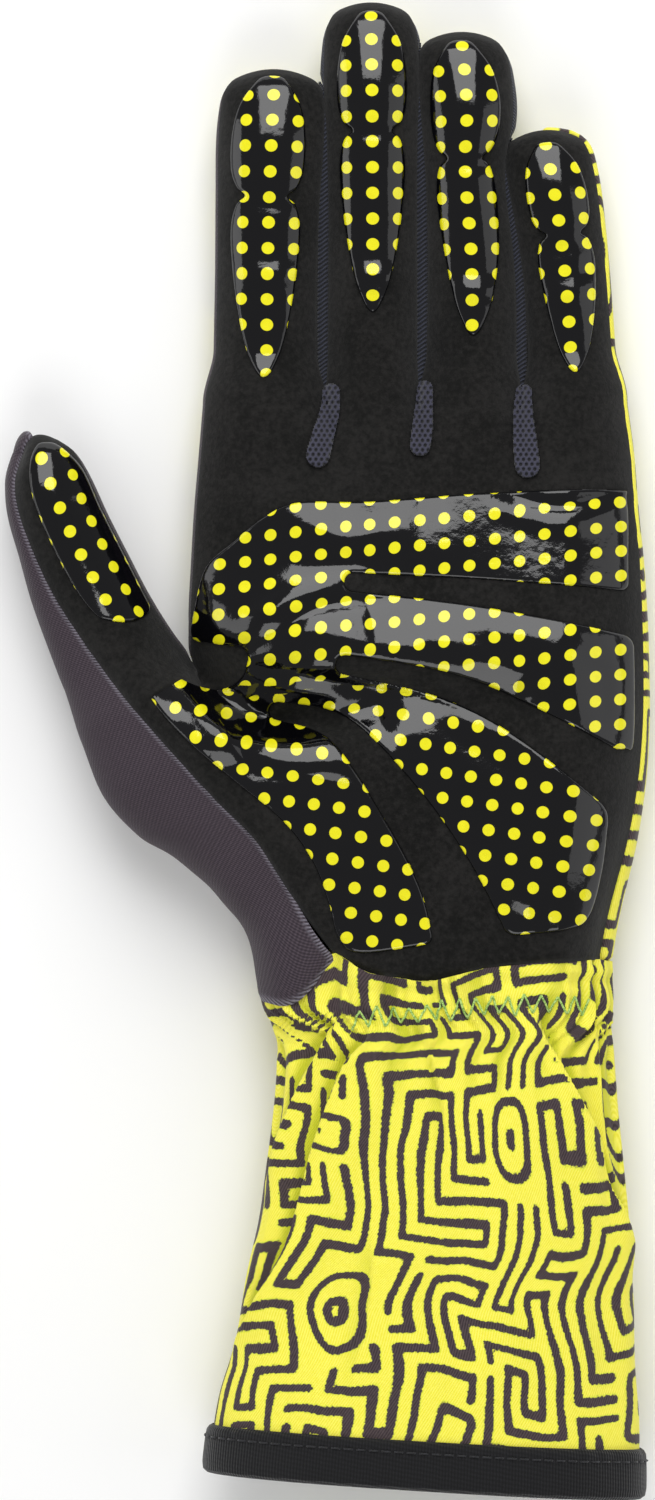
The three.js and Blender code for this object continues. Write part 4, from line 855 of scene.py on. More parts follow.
class Maze:
    """The printed line, its gaps, and nests of rings set in it. Lengths are millimetres of cloth."""

    GAPS = 0.03  # share of the lattice's edges left out
    NEST_TRIES, NEST_REACH, NEST_APART, NEST_CLEAR = 2600, (3.4, 6.6), 24, 0.66
    RING = 0.92  # pitch of the rings in pitches of the lattice
    HALF_LINE = 0.86
    SWAY, SWAY_LENGTH, WOBBLE, WOBBLE_LENGTH = 3.6, 30.0, 0.55, 5.5

    def __init__(self, seed, columns, rows, pitch):
        rng = np.random.default_rng(seed)
        self.pitch, self.columns, self.rows = pitch, 2 * columns, 2 * rows
        joined_x = np.zeros((columns, rows), bool)
        joined_y = np.zeros((columns, rows), bool)
        seen = np.zeros((columns, rows), bool)
        trail = [(columns // 2, rows // 2)]
        seen[trail[0]] = True
        while trail:
            i, j = trail[-1] if rng.random() < 0.75 else trail[rng.integers(len(trail))]
            ways = [(i + a, j + b) for a, b in ((1, 0), (-1, 0), (0, 1), (0, -1))]
            ways = [(a, b) for a, b in ways if 0 <= a < columns and 0 <= b < rows and not seen[a, b]]
            if not ways:
                trail.remove((i, j))
                continue
            a, b = ways[rng.integers(len(ways))]
            if a != i:
                joined_x[min(a, i), j] = True
            else:
                joined_y[i, min(b, j)] = True
            seen[a, b] = True
            trail.append((a, b))
        right = np.zeros((self.columns, self.rows), bool)
        up = np.zeros((self.columns, self.rows), bool)
        for i in range(columns):
            for j in range(rows):
                x, y = 2 * i, 2 * j
                below = j > 0 and joined_y[i, j - 1]
                behind = i > 0 and joined_x[i - 1, j]
                right[x, y] = not below
                right[x, y + 1] = not joined_y[i, j]
                up[x, y] = not behind
                up[x + 1, y] = not joined_x[i, j]
                if joined_x[i, j]:
                    right[x + 1, y] = right[x + 1, y + 1] = True
                if joined_y[i, j]:
                    up[x, y + 1] = up[x + 1, y + 1] = True
        right &= rng.random(right.shape) > self.GAPS
        up &= rng.random(up.shape) > self.GAPS
        self.right, self.up = right, up
        self.noise = Noise(seed + 1)
        self.nests = []
        wide, tall = self.columns * pitch, self.rows * pitch
        for _ in range(self.NEST_TRIES):
            u, v, reach = rng.uniform(0, wide), rng.uniform(0, tall), rng.uniform(*self.NEST_REACH)
            if all(math.hypot(u - a, v - b) > reach + c + self.NEST_APART for a, b, c, *_ in self.nests):
                self.nests.append((u, v, reach, rng.uniform(1.2, 2.0), rng.choice([3.0, 7.0, 7.0]),
                                   rng.choice([0.0, 1.57]) + rng.normal(0, 0.12)))
        i, j = np.meshgrid(np.arange(self.columns), np.arange(self.rows), indexing="ij")
        for nest in self.nests:
            for s in (0, 0.25, 0.5, 0.75, 1):
                self.right &= self.nest_line(nest, (i + s) * pitch, j * pitch)[1] > self.NEST_CLEAR * pitch
                self.up &= self.nest_line(nest, i * pitch, (j + s) * pitch)[1] > self.NEST_CLEAR * pitch

    def nest_line(self, nest, u, v):
        """Distances in millimetres to the rings of a nest and to its outermost one, the last below 0 inside."""
        cu, cv, reach, long, power, turn = nest
        x, y = u - cu, v - cv
        p, q = x * math.cos(turn) + y * math.sin(turn), y * math.cos(turn) - x * math.sin(turn)
        p, q = np.abs(p / long), np.abs(q)
        r = np.maximum((p**power + q**power) ** (1 / power), 0.001)
        steep = np.maximum(np.hypot(p ** (power - 1) / long, q ** (power - 1)) / r ** (power - 1), 0.3)
        ring = self.RING * self.pitch
        rings = np.abs((reach - r + ring / 2) % ring - ring / 2)
        return np.where(r < reach, rings, r - reach) / steep, (r - reach) / steep

    def distance(self, u, v):
        """Distance in millimetres to the edge of the printed line, below 0 on it."""
        n = self.noise
        slow, quick = (u / self.SWAY_LENGTH, v / self.SWAY_LENGTH), (u / self.WOBBLE_LENGTH, v / self.WOBBLE_LENGTH)
        du = self.SWAY * n(*slow, 1.3) + self.WOBBLE * n(*quick, 5.1)
        dv = self.SWAY * n(*slow, 8.7) + self.WOBBLE * n(*quick, 9.9)
        a, b = (u + du) / self.pitch, (v + dv) / self.pitch
        i0, j0 = np.floor(a).astype(int), np.floor(b).astype(int)
        best = np.full(np.shape(u), 9.0)
        for di in (-1, 0, 1):
            for dj in (-1, 0, 1):
                i, j = i0 + di, j0 + dj
                inner = (i >= 0) & (i < self.columns) & (j >= 0) & (j < self.rows)
                ci, cj = np.clip(i, 0, self.columns - 1), np.clip(j, 0, self.rows - 1)
                x, y = a - i, b - j
                flat = np.hypot(x - np.clip(x, 0, 1), y)
                tall = np.hypot(x, y - np.clip(y, 0, 1))
                best = np.where(inner & self.right[ci, cj] & (flat < best), flat, best)
                best = np.where(inner & self.up[ci, cj] & (tall < best), tall, best)
        best = best * self.pitch
        for nest in self.nests:
            if ((np.abs(u + du - nest[0]) < 20) & (np.abs(v + dv - nest[1]) < 20)).any():
                best = np.minimum(best, self.nest_line(nest, u + du, v + dv)[0])
        return best - self.HALF_LINE - 0.17 * n(u / 9, v / 9, 3.3) - 0.12 * n(u / 1.6, v / 1.6, 6.6)


MAZE = Maze(21, 41, 48, 4.05)


# Suede of the palm, fingers and thumb

def excess(grid, axis):
    """How much longer the surface is than its plan, summed along an axis."""
    return lengths(grid, axis) - lengths(grid[..., :2], axis)


PUCKER, PUCKER_LENGTH = 0.12, 1.7


def seam_roll(sheet, edge, depth, reach):
    """Turns the border of a sheet down into its seam."""
    down = depth * np.clip(1 - edge / reach, 0, 1) ** 2
    wave = noise(sheet.points[:, 0] / PUCKER_LENGTH, sheet.points[:, 1] / PUCKER_LENGTH)
    pucker = PUCKER * np.clip(1 - edge / (2 * reach), 0, 1) * wave
    return sheet.moved(-sheet.normals() * (down - pucker)[:, None])


top = weld(TOP)
top_edge = top.edge_distance()
turned = np.clip(1 - top_edge / 1.3, 0, 1)[:, None] ** 2
suede = top.moved(turned * (0.5 * top.normals() * [1, 1, 0] - [0, 0, 0.8]))
suede.values["edge"] = top_edge
piece("palm_suede", shell(suede, 0, -SUEDE_THICK), SUEDE, ["palm_panel"])


# Grips

CUT_ROUNDS, CUT_SNAP, CUT_NEAR, SHORT_EDGE = 2, 0.06, 0.45, 0.25


def cut_out(sheet, outside):
    """The part of a sheet with dots where outside is below 0, its triangles halved near the outline first.

    Also the normals there and how far inside each point lies.
    """
    data = np.column_stack([sheet.points, sheet.normals(), sheet.values["dots"]])
    tris = sheet.tris
    value = outside(data[:, 0], data[:, 1])
    tris = tris[value[tris].min(axis=1) < 2.0]
    for _ in range(CUT_ROUNDS):
        pairs = np.sort(tris[:, [0, 1, 1, 2, 2, 0]].reshape(-1, 2), axis=1)
        edges, back = np.unique(pairs, axis=0, return_inverse=True)
        middle = (data[edges[:, 0]] + data[edges[:, 1]]) / 2
        length = np.linalg.norm(data[edges[:, 0], :3] - data[edges[:, 1], :3], axis=1)
        away = outside(middle[:, 0], middle[:, 1])
        marked = (np.abs(away + 0.25) < CUT_NEAR + 0.5 * length) & (length > SHORT_EDGE)
        new = np.where(marked, np.cumsum(marked) - 1 + len(data), -1)
        data = np.concatenate([data, middle[marked]])
        m = new[back.ravel()].reshape(-1, 3)
        out = []
        for turn in range(3):
            a, b, c = np.roll(tris, -turn, axis=1).T
            p, q, r = np.roll(m, -turn, axis=1).T
            one = (p >= 0) & (q < 0) & (r < 0)
            two = (p >= 0) & (q >= 0) & (r < 0)
            out += [np.column_stack(face)[one] for face in ((a, p, c), (p, b, c))]
            out += [np.column_stack(face)[two] for face in ((p, b, q), (a, p, q), (a, q, c))]
        a, b, c = tris.T
        p, q, r = m.T
        out.append(tris[(m < 0).all(axis=1)])
        out += [np.column_stack(face)[(m >= 0).all(axis=1)] for face in ((a, p, r), (p, b, q), (r, q, c), (p, q, r))]
        tris = np.concatenate(out)
    value = outside(data[:, 0], data[:, 1])
    value = np.where(np.abs(value) < CUT_SNAP, 0, value)
    inner, some = (value[tris] <= 0).all(axis=1), (value[tris] < 0).any(axis=1)
    mixed, kept = tris[~inner & some], [tris[inner & some]]
    rows, made, extra, cut = len(data), {}, [], []

    def crossing(a, b):
        key = (min(a, b), max(a, b))
        if key not in made:
            share = value[a] / (value[a] - value[b])
            made[key] = rows + len(extra)
            extra.append(data[a] + (data[b] - data[a]) * share)
        return made[key]

    for face in mixed:
        ring = []
        for k in range(3):
            a, b = face[k], face[(k + 1) % 3]
            if value[a] <= 0:
                ring.append(a)
            if value[a] * value[b] < 0:
                ring.append(crossing(a, b))
        for k in range(1, len(ring) - 1):
            cut.append((ring[0], ring[k], ring[k + 1]))
    if extra:
        data = np.concatenate([data, extra])
        kept.append(np.array(cut))
    tris = np.concatenate(kept)
    used, place = np.unique(tris, return_inverse=True)
    data = data[used]
    part = Sheet(data[:, :3], place.reshape(-1, 3), dots=data[:, 6:])
    return part, unit(data[:, 3:6]), -outside(data[:, 0], data[:, 1])


PALM_OUTLINE = [
    (-0.484, 0.632), (-0.458, 0.711), (-0.396, 0.758), (-0.337, 0.796), (-0.26, 0.824), (-0.1, 0.826), (0.13, 0.84),
    (0.42, 0.848), (0.455, 0.826), (0.458, 0.685), (0.47, 0.56), (0.468, 0.4), (0.444, 0.382), (0.418, 0.3),
    (0.4, 0.18), (0.37, 0.095), (0.32, 0.072), (0.22, 0.062), (0.05, 0.048), (-0.12, 0.03), (-0.17, 0.058),
    (-0.192, 0.119), (-0.226, 0.191), (-0.29, 0.262), (-0.396, 0.334), (-0.485, 0.395), (-0.556, 0.455),
    (-0.602, 0.515), (-0.624, 0.555), (-0.608, 0.58), (-0.585, 0.583), (-0.55, 0.562), (-0.505, 0.545),
]
# Bare channels: places and half widths in shares of the palm's width and length
PALM_CHANNELS = [
    [(-0.56, 0.562, 0.035), (-0.44, 0.535, 0.05), (-0.39, 0.55, 0.024)],
    [(-0.138, 0.684, 0.02), (0.1, 0.668, 0.028), (0.33, 0.645, 0.04), (0.53, 0.62, 0.052)],
    [(-0.155, 0.538, 0.021), (0.07, 0.5, 0.029), (0.26, 0.425, 0.04), (0.53, 0.28, 0.072)],
    [(-0.3, 0.457, 0.021), (-0.17, 0.425, 0.03), (-0.04, 0.3, 0.048), (0.07, 0.15, 0.063), (0.14, -0.02, 0.09)],
]
CHANNEL_ROUNDING = 2.2
palm_line = smooth_line([palm_place(*p) for p in PALM_OUTLINE], 7, closed=True)
palm_channels = [smooth_line([(*palm_place(a, b), half * PALM_WIDTH) for a, b, half in stations], 8)
                 for stations in PALM_CHANNELS]


def palm_outside(x, y):
    away = line_distance(x, y, palm_line)
    for channel in palm_channels:
        away = soft_max(away, -run_distance(x, y, channel)[0], CHANNEL_ROUNDING)
    return away


GRIP_HEIGHT, GRIP_ROUNDING = 0.5, 0.75


def grip_piece(name, sheet, outside):
    """A rubber body moulded on the suede: rounded at its border, full inside."""
    part, normals, deep = cut_out(sheet, outside)
    rise = 0.1 + GRIP_HEIGHT * np.sqrt(np.clip(1 - (1 - np.clip(deep / GRIP_ROUNDING, 0, 1)) ** 2, 0, 1))
    piece("grip_of_" + name, shell(part, rise, 0.06, normals), GRIP, ["grip_" + name])


# Where a dot of the upper columns and one of the turned lattice lie, on the drawing from its middle, and their pitches
UPPER_DOT, UPPER_PITCH, UPPER_SLOPE = (166.2, -235.2), (24.8, 24.6), 0.095
LOWER_DOT, LOWER_PITCH, LOWER_TURN = (122.4, -2.1), 25.2, math.radians(8.2)
GREAT_CREASE = [(60, 540), (150, 606), (196, 652), (232, 684), (262, 690), (330, 682), (385, 678), (449, 687),
                (536, 729), (661, 811)]


def palm_dots(x, y):
    """Dot coordinates over the palm: upright columns above the great crease, a turned lattice below it."""
    px, py = (x + SHIFT[0]) / PIXEL, -(y + SHIFT[1]) / PIXEL
    upper_u = (px - UPPER_DOT[0]) / UPPER_PITCH[0]
    upper_v = (py - UPPER_DOT[1] + UPPER_SLOPE * (px - UPPER_DOT[0])) / UPPER_PITCH[1]
    right, down = px - LOWER_DOT[0], py - LOWER_DOT[1]
    lower_u = (right * math.cos(LOWER_TURN) + down * math.sin(LOWER_TURN)) / LOWER_PITCH
    lower_v = (down * math.cos(LOWER_TURN) - right * math.sin(LOWER_TURN)) / LOWER_PITCH
    crease = smooth_line(spots(GREAT_CREASE))
    above = ease((y - np.interp(x, crease[:, 0], crease[:, 1]) + 0.7) / 1.4)
    u = lerp(lower_u, upper_u, above) + 0.05 * noise(x / 14, y / 14, 3.0)
    v = lerp(lower_v, upper_v, above) + 0.05 * noise(x / 14, y / 14, 8.0)
    return np.stack([u + 0.5, v + 0.5, 4 * above * (1 - above)], axis=-1)


DOT_PITCH = 5.13
palm_sheet = weld([TOP[0][: WEB_ROW + 1]] + [grid[: ROOT_ROW + 1] for grid in TOP[1:]])
palm_sheet.values["dots"] = palm_dots(palm_sheet.points[:, 0], palm_sheet.points[:, 1])
grip_piece("palm", palm_sheet, palm_outside)

# Outline of a finger grip from its top: share of its length, share of its half width
GRIP_OUTLINE = [
    (0.0, 0.28), (0.03, 0.55), (0.1, 0.86), (0.2, 1.0), (0.31, 1.0), (0.37, 0.84), (0.4, 0.6), (0.43, 0.84),
    (0.5, 0.98), (0.6, 0.96), (0.74, 0.82), (0.88, 0.58), (0.96, 0.32), (1.0, 0.1),
]
FINGER_GRIPS = [
    dict(name="index", top=0.99, foot=0.085, half=0.355, shift=-0.03, turn=0.0, dots=(0.5, 0.32)),
    dict(name="middle", top=0.99, foot=0.235, half=0.37, shift=0.0, turn=0.0, dots=(0.5, 0.2)),
    dict(name="ring", top=0.988, foot=0.19, half=0.38, shift=-0.02, turn=0.04, dots=(0.5, 0.35)),
    dict(name="little", top=0.965, foot=0.12, half=0.345, shift=0.02, turn=0.03, dots=(0.5, 0.1)),
]


# Outline of the thumb's grip: share of its length, place across it from -1 to 1
THUMB_GRIP = [
    (0.31, -0.1), (0.36, -0.36), (0.5, -0.46), (0.7, -0.5), (0.85, -0.5), (0.94, -0.36), (0.985, 0.0), (0.99, 0.4),
    (0.97, 0.8), (0.86, 0.985), (0.7, 0.99), (0.5, 0.99), (0.36, 0.98), (0.28, 0.9), (0.27, 0.4),
]


def strip_grip(name, strip, first, length, outline, dot_place, rise):
    """A grip on a finger or the thumb from the section first on, its rows of dots spread by the rise of the middle."""
    grid = section_grid(strip, T, "top")[first:]
    along = strip["along"][first:]
    line = []
    for at, t in outline:
        row = np.interp(at * length, along, np.arange(len(along)))
        i = int(min(row, len(along) - 2))
        cut = section_grid(cut_strip(strip, slice(first + i, first + i + 2)), [t], "top")
        line.append(lerp(cut[0, 0, :2], cut[1, 0, :2], row - i))
    line = smooth_line(line, closed=True)
    across = excess(grid, 1)
    middle = COLUMNS // 2
    u = np.linalg.norm(grid[..., :2] - grid[:, middle:middle + 1, :2], axis=-1) * np.sign(T)
    u = u + across - across[:, middle:middle + 1]
    v = along[:, None] + rise * excess(grid, 0)[:, middle:middle + 1]
    dots = flat_values(u / DOT_PITCH + dot_place[0], v / DOT_PITCH + dot_place[1])
    grip_piece(name, weld([grid], dots=[dots]), lambda x, y: line_distance(x, y, line))


for strip, grip, finger in zip(fingers, FINGER_GRIPS, FINGERS):
    outline = []
    for side in (1, -1):
        for at, half in GRIP_OUTLINE[::side]:
            t = 2 * (grip["shift"] + grip["turn"] * at + side * half * grip["half"])
            outline.append((lerp(grip["top"], grip["foot"], at), t))
    strip_grip(grip["name"], strip, ROOT_ROW, finger["length"], outline, grip["dots"], 1)
strip_grip("thumb", thumb, WEB_ROW, THUMB_LENGTH, THUMB_GRIP, (0.42, 0.3), 0)


# Walls: cloth between two seams

TIP_POINTS = 12
SIDE_STEPS, SIDE_TOP, SIDE_FOOT = 8, 0.7, 1.2  # steps down a side strip, and how far it stays from both surfaces
GAP_SHARE = 0.42  # the most that a side strip bulges, in shares of the gap between the fingers
CORD_GAP, CORD_SUNK, CORD_MOST = 2.6, 0.9, 1.15  # widest gap that is closed, depth of the cord, its largest radius


def over_and_under(strip, t):
    """Places of a strip with the heights over and under each."""
    over, under = section_grid(strip, t, "top"), section_grid(strip, t, "under")
    return np.concatenate([over, under[..., 2:]], axis=-1)


def side_run(strip, side, first):
    """From the middle of a strip's tip down one side to the section first: x, y, height over and under."""
    tip = over_and_under(cut_strip(strip, slice(-1, None)), np.linspace(0, side, TIP_POINTS))[0]
    return np.concatenate([tip, over_and_under(strip, [side])[first:-1, 0][::-1]])


def plan_ways(run):
    """The ways out of a run, in its plan."""
    step = np.gradient(run[:, :2], axis=0)
    return unit(np.column_stack([-step[:, 1], step[:, 0]]))


def wall(run, bulge, drop, rise, steps, ways):
    """A wall between the two heights of a run, bulged along the ways."""
    high, low = run[:, 2] - drop, run[:, 3] + rise
    middle = (high + low) / 2
    rows = []
    for turn in np.arange(steps + 1) * math.pi / steps:
        out = (bulge * math.sin(turn))[:, None]
        rows.append(np.column_stack([run[:, :2] + ways * out, middle + (high - middle) * math.cos(turn)]))
    return np.stack(rows)


def plan_tree(points):
    tree = KDTree(len(points))
    for i, p in enumerate(points):
        tree.insert((p[0], p[1], 0), i)
    tree.balance()
    return tree


def side_strip(name, a, b, first, material, bulge_most):
    """The strip of cloth down one finger, round the crotch and up the next, and the run and gap it fills."""
    down, up = side_run(a, 1, first), side_run(b, -1, first + 1)[::-1]
    run = np.concatenate([down, up])
    apex = len(down) - 1
    ways = plan_ways(run)
    for k in range(-2, 3):
        ways[apex + k] = lerp(ways[apex + k], np.array([0.0, 1.0]), 1 - abs(k) / 3)
    ways = unit(ways)
    trees = plan_tree(up), plan_tree(down)
    gap = np.array([trees[i > apex].find((p[0], p[1], 0))[2] for i, p in enumerate(run)])
    from_tip = np.minimum(np.arange(len(run)), np.arange(len(run))[::-1])
    bulge = np.minimum(lerp(0.3, bulge_most, ease((from_tip - 10) / 26)), GAP_SHARE * gap)
    grid = wall(run, bulge, SIDE_TOP, SIDE_FOOT, SIDE_STEPS, ways)
    grid[0, :, :2] -= SIDE_TOP * ways
    sheet = weld([grid], cloth=[flat_values(lengths(run[:, :3]), np.arange(SIDE_STEPS + 1.0)[:, None])])
    sheet.values["edge"] = sheet.edge_distance()
    piece("side_" + name, shell(sheet, 0, -SIDE_THICK), material, ["fourchette_" + name])
    return down, up, gap, trees[0]


def cord(name, down, up, gap, tree):
    """The overlocked edge that closes a narrow gap between two fingers."""
    line = []
    for p, wide in zip(down, gap):
        if wide <= CORD_GAP:
            q = up[tree.find((p[0], p[1], 0))[1]]
            line.append((*((p[:2] + q[:2]) / 2), min(p[2], q[2]) - CORD_SUNK,
                         min(CORD_MOST, GAP_SHARE * wide + 0.25)))
    line = np.array(line)
    for _ in range(6):
        line[1:-1] = (line[:-2] + 2 * line[1:-1] + line[2:]) / 4
    grown = ease(np.arange(len(line)) / 7)
    line[:, 2] -= 2.2 * (1 - grown)
    line[:, 3] *= lerp(0.25, 1, grown)
    piece("cord_" + name, tube(line[:, :3], line[:, 3], 12), CORD)


side_strip("thumb_index", thumb, index_strip, WEB_ROW, CHARCOAL, 0.9)
for name, a, b, bulge in (("index_middle", index_strip, middle_strip, 1.2),
                          ("middle_ring", middle_strip, ring_strip, 1.4),
                          ("ring_little", ring_strip, little_strip, 1.2)):
    cord(name, *side_strip(name, a, b, ROOT_ROW, SIDE, bulge))


# Back of the hand, rolled up the little finger's side

outer_run = side_run(little_strip, 1, 0)
outer_ways = plan_ways(outer_run)
outer_place = np.arange(len(outer_run))
share = np.clip((WRIST_Y + PALM_LENGTH - outer_run[:, 1]) / PALM_LENGTH, 0, 1)
outer_bulge = np.where(outer_place < TIP_POINTS, 1.2, lerp(1.1, 3.2, share**2))
outer_drop = 1 - ease(outer_place / 14)
outer_wall = wall(outer_run, outer_bulge, outer_drop, 0.0, 12, outer_ways)
back_grids = [section_grid(strip, -T, "under") for strip in fingers]
cloths = [flat_values(grid[..., 0] + 90, grid[..., 1] + 90) for grid in back_grids]
prints = [MAZE.distance(cloth[..., 0], cloth[..., 1]) for cloth in cloths]
wall_u, wall_v = np.broadcast_arrays(lengths(outer_run[:, :3]) + 12, lengths(outer_wall))
prints.append(MAZE.distance(wall_v + 150, wall_u))
cloths.append(flat_values(wall_v, wall_u))
back = weld(back_grids + [outer_wall], print=prints, cloth=cloths)
back = seam_roll(back, np.where(back.points[:, 2] > 3, back.edge_distance(), 3), 0.7, 1.2)
piece("back_cloth", shell(back, 0, -PRINTED_THICK), PRINTED, ["back_panel"])


# Thumb cloth

OVERLAP_X = -5.5  # where its border at the wrist lies over the cuff
thumb_run = side_run(thumb, -1, 0)[::-1]
roll = thumb["roll"]
roll_bulge = np.concatenate([roll[:-1], np.full(len(thumb_run) - len(roll) + 1, roll[-1])])
thumb_ways = plan_ways(thumb_run)
aims = np.column_stack([-np.cos(thumb["aim"][:-1]), -np.sin(thumb["aim"][:-1])])
blend = ease((np.arange(len(aims)) - len(aims) + 14) / 14)[:, None]
thumb_ways[: len(aims)] = lerp(aims, thumb_ways[: len(aims)], blend)
thumb_ways = unit(thumb_ways)
thumb_wall = wall(thumb_run, roll_bulge, 0.0, 0.0, 26, thumb_ways)
thumb_under = section_grid(thumb, -T, "under")


def thumb_folds(points):
    """Soft folds of the thumb cloth where it is pulled in at the wrist."""
    x, y, z = points.T
    wave = noise(x / 9 + y / 30, y / 14) * 0.7 + noise(x / 4.5, y / 9 + 3) * 0.3
    return (0.9 * ease((-6 - y) / 30) * wave + 0.25 * noise(x / 12, y / 16 + 9)) * ease((z - 3) / 6)


def thumb_sheet():
    """The thumb's cloth, its border at the wrist drawn over the cuff."""
    cloths = [flat_values(thumb_under[..., 0], thumb_under[..., 1]),
              flat_values(lengths(thumb_wall), lengths(thumb_run[:, :3]))]
    sheet = weld([thumb_under, thumb_wall], cloth=cloths)
    edge = sheet.edge_distance()
    sheet.values["edge"] = edge
    lift = thumb_folds(sheet.points) * np.clip(edge / 2.5, 0, 1)
    sheet = seam_roll(sheet.moved(sheet.normals() * lift[:, None]), edge, 0.6, 1.1)
    x, y, z = sheet.points.T
    over_cuff = np.exp(-(((x - OVERLAP_X) / 7) ** 2)) * ease((-28 - y) / 16) * ease((z - 8) / 6)
    return sheet.moved(over_cuff[:, None] * (1.9 * sheet.normals() - [0, 5.5, 0]))


piece("thumb_cloth", shell(thumb_sheet(), 0, -CHARCOAL_THICK), CHARCOAL, ["thumb_panel"])


# Cuff

PLEAT_OVER, PLEAT_BELOW, PLEAT_STEP = 6.5, 5.0, 0.35  # how far a pleat fades over and under its fold, and its step
PLAIN = 1.5  # the print's distance where the cloth is left plain
CUFF = table(
    "at width height middle gather",
    (0.0, 0.1, 0.0, 0.0, 0.0), (0.05, 0.08, -0.05, 0.0, 0.55), (0.1, 0.0, -0.1, 0.0, 0.8),
    (0.17, 0.04, 0.02, 0.0, 1.0), (0.27, 0.1, 0.18, 0.02, 1.0), (0.38, 0.23, 0.34, 0.04, 0.95),
    (0.5, 0.37, 0.5, 0.1, 0.85), (0.62, 0.53, 0.66, 0.38, 0.7), (0.74, 0.67, 0.8, 0.58, 0.5),
    (0.86, 0.9, 0.92, 0.82, 0.28), (1.0, 1.0, 1.0, 1.0, 0.06),
)
# Gathers: turn at the wrist and at the hem, reach in degrees, depth in shares of the wrist's height
GATHERS = [
    (30, 33, 8, -0.046), (75, -8, 10, 0.03), (90, 86, 9, -0.042), (96, 160, 8, 0.03), (146, 168, 9, 0.046),
    (205, 195, 14, -0.038), (335, 345, 14, -0.038),
]
# Pleats on the palm's side: places on the drawing, which side lies on top, height in millimetres, cloth taken up.
PLEATS = [
    ([(368, 1040), (344, 1068), (318, 1141), (304, 1192), (286, 1250), (256, 1300), (228, 1352)], 1, 2.6, 9.0),
    ([(336, 1024), (302, 1077), (280, 1132), (262, 1190)], 1, 1.9, 6.0),
    ([(538, 1020), (565, 1077), (586, 1126), (607, 1184), (622, 1216), (638, 1290)], -1, 2.3, 9.0),
    ([(592, 1016), (600, 1075), (606, 1134), (618, 1180)], -1, 1.4, 5.0),
    ([(420, 1022), (428, 1056), (440, 1100), (446, 1150)], 1, 0.8, 2.5),
    ([(352, 1380), (368, 1300), (372, 1240)], 1, 0.6, 0.0),
]


def wrist_ring():
    """The hand's edge at the wrist, anticlockwise as seen from the cuff's side, as the frame's cuff starts."""
    over = np.concatenate([grid[0][(1 if i else 0):] for i, grid in enumerate(TOP)])
    outer = wall(outer_run, outer_bulge, outer_drop, 0.0, 8, outer_ways)[1:-1, -1]
    under = []
    for i, (strip, count) in enumerate(zip([*fingers[::-1], thumb], [13, 13, 13, 13, 9])):
        under.append(section_grid(strip, np.linspace(1, -1, count), "under")[0][(1 if i else 0):])
    return np.concatenate([over, outer, *under, wall(thumb_run, roll_bulge, 0.0, 0.0, 12, thumb_ways)[1:-1, 0][::-1]])


ring = wrist_ring()
ring_low, ring_high = ring.min(axis=0), ring.max(axis=0)
ring_centre, ring_size = (ring_low + ring_high) / 2, ring_high - ring_low
across, up = (ring[:, 0] - ring_centre[0]) / ring_size[0], (ring[:, 2] - ring_centre[2]) / ring_size[2]
angle = np.degrees(np.arctan2(up, across))
for i in range(1, len(angle)):
    while angle[i] - angle[i - 1] > 180:
        angle[i] -= 360
    angle[i] = min(angle[i], angle[i - 1] - 0.4)
closed_angle = np.append(angle, angle[0] - 360)
closed_ring = np.concatenate([ring, ring[:1]])


def squared(a):
    """The cosine of a turn, for a section that is a little squarer than an ellipse."""
    return np.sign(np.cos(a)) * np.abs(np.cos(a)) ** CUFF_SQUARE


def hem_share(turns):
    """Even places round the hem, by its own length, as turns, and the length round it."""
    fine = np.linspace(closed_angle[0], closed_angle[-1], 2001)
    a = np.radians(fine)
    length = lengths(np.column_stack([HEM_WIDTH / 2 * squared(a), HEM_HEIGHT / 2 * np.sin(a)]))
    return np.interp(turns * length[-1], length, fine), length[-1]


column_share = np.linspace(0, 1, CUFF_COLUMNS + 1)[:-1]
turns, hem_round = hem_share((column_share + 0.7) % 1)
ring_even = np.column_stack([np.interp(-turns, -closed_angle, closed_ring[:, k]) for k in range(3)])


def cuff_point(at):
    """One ring of the cuff."""
    s = {k: v[0] for k, v in rows_at(CUFF, at).items()}
    width, height = lerp(WRIST_WIDTH, HEM_WIDTH, s["width"]), lerp(WRIST_HEIGHT, HEM_HEIGHT, s["height"])
    centre = lerp(WRIST_MIDDLE, HEM_MIDDLE, s["middle"])
    floor = (HEM_GAP + BINDING_CLOTH) * ease((at - 0.7) / 0.2)
    own = ease(at / CUFF_BLEND)
    a = np.radians(turns)
    out = np.zeros_like(turns)
    for turn, hem_turn, wide, deep in GATHERS:
        off = (turns - lerp(turn, hem_turn, at) + 180) % 360 - 180
        out += deep * WRIST_HEIGHT * s["gather"] * np.exp(-((off / wide) ** 2))
    x = centre + (width / 2 + out) * squared(a)
    climb = np.sin(a) * np.where(np.sin(a) < 0, CUFF_UNDER, 1)
    z = np.maximum(floor, height / 2 + (height / 2 + out) * climb)
    drop = CUFF_LENGTH * at + HEM_TILT * at * ((x - centre) / HEM_WIDTH)
    y = lerp(ring_even[:, 1], WRIST_Y, own) - drop
    return np.column_stack([lerp(ring_even[:, 0], x, own), y, lerp(ring_even[:, 2], z, own)])


cuff_at = np.linspace(0, 1, CUFF_ROWS + 1)
smooth_cuff = np.stack([cuff_point(at) for at in cuff_at])


def grid_normals(grid):
    return unit(np.cross(np.gradient(grid, axis=0), np.roll(grid, -1, axis=1) - np.roll(grid, 1, axis=1)))


